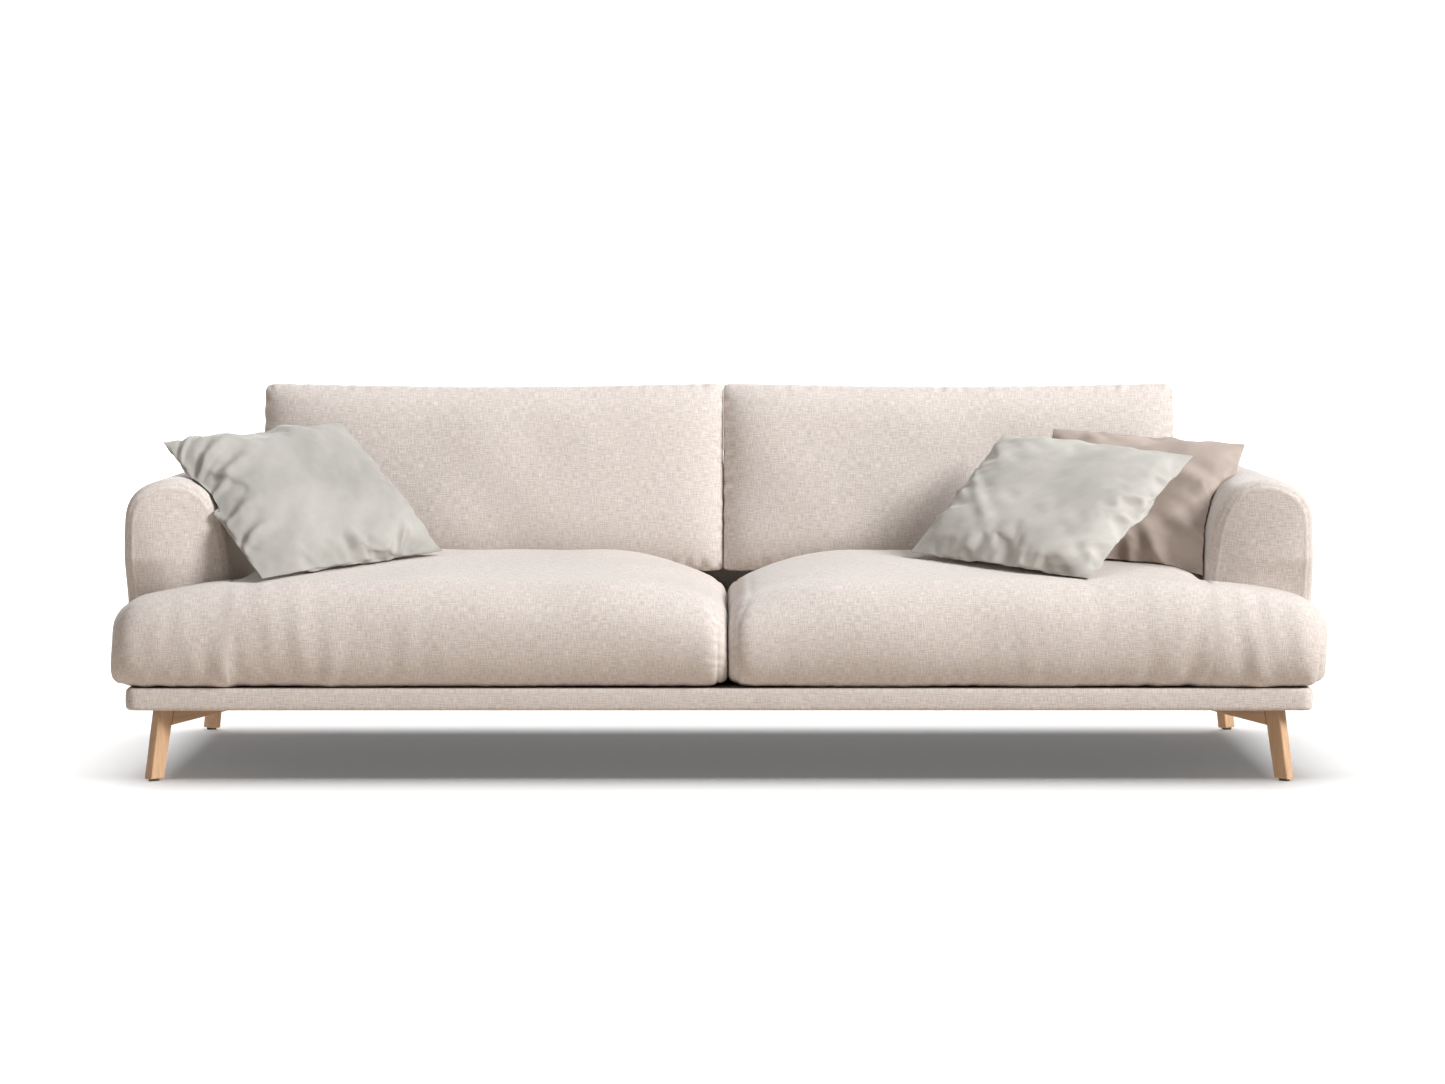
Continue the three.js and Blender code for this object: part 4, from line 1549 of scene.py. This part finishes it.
@dataclass
class Studio:
    """The floor, the lights and the camera."""

    eye: tuple[float, float, float] = (0.0, -7.84, 1.039)
    lens: float = 90.0
    pitch: float = 4.196
    yaw: float = -0.052
    soft_boxes: tuple[SoftBox, ...] = (
        SoftBox("key_light", (11.0, -6.0, 8.5), 5.0, 2750.0, (0.98, 1.0, 1.03)),
        SoftBox("fill_light", (-6.0, -9.0, 4.5), 5.0, 71.0, (1.0, 1.0, 1.0)),
        SoftBox("top_light", (0.0, -0.6, 4.8), 4.0, 85.0, (0.98, 1.0, 1.02)),
        SoftBox("rear_light", (-3.0, 7.0, 3.4), 4.0, 420.0, (1.0, 1.0, 1.0)),
    )
    wash: SoftBox = SoftBox("floor_light", (0.0, 1.5, 6.5), 10.0, 1080.0, (1.0, 1.0, 1.0))
    sky: tuple[float, float, float] = (0.10, 0.10, 0.102)
    bounce: tuple[float, float, float] = (0.76, 0.665, 0.585)

    def build(self) -> None:
        """Sets up the studio."""
        floor = self._floor()
        others = bpy.data.collections.new("all_but_floor")
        others.objects.link(floor)
        others.collection_objects[0].light_linking.link_state = "EXCLUDE"
        only = bpy.data.collections.new("floor_only")
        only.objects.link(floor)
        for box in self.soft_boxes:
            box.hang((0.0, 0.0, 0.4)).light_linking.receiver_collection = others
        self.wash.hang((0.0, 1.5, 0.0)).light_linking.receiver_collection = only
        self._camera()
        world = bpy.data.worlds.new("studio")
        world.use_nodes = True
        nodes, links = world.node_tree.nodes, world.node_tree.links
        place = nodes.new("ShaderNodeTexCoord")
        split = nodes.new("ShaderNodeSeparateXYZ")
        blend = nodes.new("ShaderNodeMapRange")
        horizon = 0.15
        for number, value in enumerate((-horizon, horizon, 0.0, 1.0), start=1):
            blend.inputs[number].default_value = value
        ramp = nodes.new("ShaderNodeValToRGB")
        for stop, colour in zip(ramp.color_ramp.elements, (self.bounce, self.sky)):
            stop.color = (*colour, 1.0)
        links.new(place.outputs["Generated"], split.inputs[0])
        links.new(split.outputs["Z"], blend.inputs[0])
        links.new(blend.outputs[0], ramp.inputs[0])
        links.new(ramp.outputs["Color"], nodes["Background"].inputs["Color"])
        bpy.context.scene.world = world
        settings = bpy.context.scene.view_settings
        settings.view_transform = "Standard"
        settings.look = "None"
        settings.exposure = 0.0

    def _floor(self) -> bpy.types.Object:
        """A pale sweep: a floor that curves up into a wall.

        Returns:
            The floor.
        """
        half_width, front_end, bend, radius, wall_top = 24.0, -30.0, 5.0, 3.0, 14.0
        turns = np.linspace(0, math.pi / 2, 16)[1:]
        profile = [(front_end, 0.0), (bend, 0.0)]
        profile += [(bend + radius * math.sin(a), radius - radius * math.cos(a)) for a in turns]
        profile += [(bend + radius, wall_top)]
        points = [(x, y, z) for y, z in profile for x in (-half_width, half_width)]
        faces = [(2 * k, 2 * k + 1, 2 * k + 3, 2 * k + 2) for k in range(len(profile) - 1)]
        mesh = bpy.data.meshes.new("floor")
        mesh.from_pydata(points, [], faces)
        mesh.shade_smooth()
        g = Graph("floor_paper")
        place = g.add("TexCoord").outputs["Object"]
        colour = g.ramp(g.noise(place, 0.5), 0.3, 0.7, ((0.87, 0.87, 0.87), (0.89, 0.89, 0.89)))
        # Painted light: the floor glows, dim (0.12) within 3 m of the middle, where it lifts the shade under
        # the sofa, and bright (0.95) beyond 7.5 m, so the floor reads white.
        distance = g.add("VectorMath", {0: place}, operation="LENGTH").outputs["Value"]
        near, far, dim, bright = 3.0, 7.5, 0.12, 0.95
        painted_floor_glow = g.add("MapRange", {0: distance, 1: near, 2: far, 3: dim, 4: bright}).outputs[0]
        g.set(Base_Color=colour, Roughness=0.9, Specular_IOR_Level=0.1)
        g.set(Emission_Color=(1.0, 1.0, 1.0, 1.0), Emission_Strength=painted_floor_glow)
        mesh.materials.append(g.material)
        obj = bpy.data.objects.new("floor", mesh)
        bpy.context.scene.collection.objects.link(obj)
        obj.visible_diffuse = False
        return obj

    def _camera(self) -> None:
        """The camera at the viewing angle."""
        data = bpy.data.cameras.new("camera")
        data.lens = self.lens
        data.sensor_width = 36.0
        data.clip_end = 100.0
        obj = bpy.data.objects.new("camera", data)
        obj.location = self.eye
        obj.rotation_euler = (math.radians(90 - self.pitch), 0.0, math.radians(self.yaw))
        bpy.context.scene.collection.objects.link(obj)
        bpy.context.scene.camera = obj


def throw_pillows() -> list[ThrowPillow]:
    """The three throw pillows, with their lower and upper corners where they rest.

    Returns:
        The pillows: left, right rear and right front.
    """
    left_folds = (
        Fold(Edge.LEFT, 0.80, 0.13, 0.75, 0.008, 0.011),
        Fold(Edge.LEFT, 0.66, 0.17, 0.55, 0.012, 0.011),
        Fold(Edge.LEFT, 0.52, 0.20, 0.50, 0.009, 0.013),
        Fold(Edge.LEFT, 0.36, 0.12, 0.35, 0.008, 0.011),
        Fold(Edge.LEFT, 0.20, 0.11, 0.45, 0.011, 0.011),
        Fold(Edge.LOW, 0.46, 0.09, -0.2, 0.006, 0.009),
        Fold(Edge.LOW, 0.55, 0.12, -0.15, 0.011, 0.010),
        Fold(Edge.LOW, 0.66, 0.08, 0.1, 0.008, 0.009),
        Fold(Edge.LOW, 0.74, 0.11, 0.25, 0.012, 0.010),
        Fold(Edge.TOP, 0.30, 0.08, 0.2, 0.004),
    )
    front_folds = (
        Fold(Edge.LEFT, 0.72, 0.22, -0.9, 0.005, 0.016),
        Fold(Edge.LEFT, 0.50, 0.14, -0.5, 0.004),
        Fold(Edge.LEFT, 0.25, 0.10, 0.2, 0.004),
        Fold(Edge.LOW, 0.28, 0.09, 0.3, 0.006, 0.011),
        Fold(Edge.LOW, 0.40, 0.08, 0.0, 0.004, 0.010),
        Fold(Edge.LOW, 0.62, 0.07, -0.2, 0.004, 0.010),
        Fold(Edge.RIGHT, 0.78, 0.09, -0.4, 0.006, 0.010),
        Fold(Edge.RIGHT, 0.62, 0.11, -0.5, 0.007, 0.010),
        Fold(Edge.RIGHT, 0.46, 0.10, -0.3, 0.006, 0.010),
        Fold(Edge.RIGHT, 0.28, 0.12, -0.4, 0.006, 0.012),
        Fold(Edge.RIGHT, 0.12, 0.08, 0.4, 0.005, 0.010),
    )
    rear_folds = (
        Fold(Edge.TOP, 0.18, 0.10, 0.5, 0.005, 0.014),
        Fold(Edge.RIGHT, 0.20, 0.16, 0.5, 0.008, 0.017),
        Fold(Edge.RIGHT, 0.55, 0.20, 0.3, 0.006, 0.020),
        Fold(Edge.LOW, 0.78, 0.15, -0.5, 0.008, 0.015),
        Fold(Edge.LOW, 0.60, 0.13, -0.3, 0.005, 0.014),
    )
    return [
        ThrowPillow(
            "throw_pillow_left_cover", "pillow_left", Body.PILLOW_LEFT, "grey_velvet",
            (
                (-0.942, -0.420, 0.419), (-0.595, -0.090, 0.451),
                (-1.179, -0.190, 0.690), (-0.833, 0.130, 0.721),
            ),
            left_folds, plumpness=0.50, seed=5,
        ),
        ThrowPillow(
            "throw_pillow_right_rear_cover", "pillow_right_rear", Body.PILLOW_RIGHT_REAR, "taupe_velvet",
            ((0.650, -0.055, 0.448), (1.028, -0.270, 0.408), (0.744, 0.190, 0.703), (1.140, -0.020, 0.678)),
            rear_folds, cut=0.47, pressure=2.8, plumpness=0.46, seed=9,
        ),
        ThrowPillow(
            "throw_pillow_right_front_cover", "pillow_right_front", Body.PILLOW_RIGHT_FRONT, "grey_velvet",
            ((0.408, -0.134, 0.453), (0.763, -0.404, 0.415), (0.627, 0.152, 0.691), (1.015, -0.118, 0.658)),
            front_folds, plumpness=0.50, seed=14,
        ),
    ]


def main() -> None:
    """Builds the sofa in order and reports each piece."""
    logging.basicConfig(level=logging.INFO, format="%(message)s")
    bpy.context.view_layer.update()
    finishes = Finishes()
    for side in Side:
        SeatCushion(side).build(finishes)
        BackCushion(side).build(finishes)
        Arm(side).build(finishes)
    Backrest().build(finishes)
    Plinth().build(finishes)
    for pillow in throw_pillows():
        pillow.build(finishes.velvets[pillow.body])
    Joinery(finishes).dress()
    Studio().build()


if __name__ == "__main__":
    main()
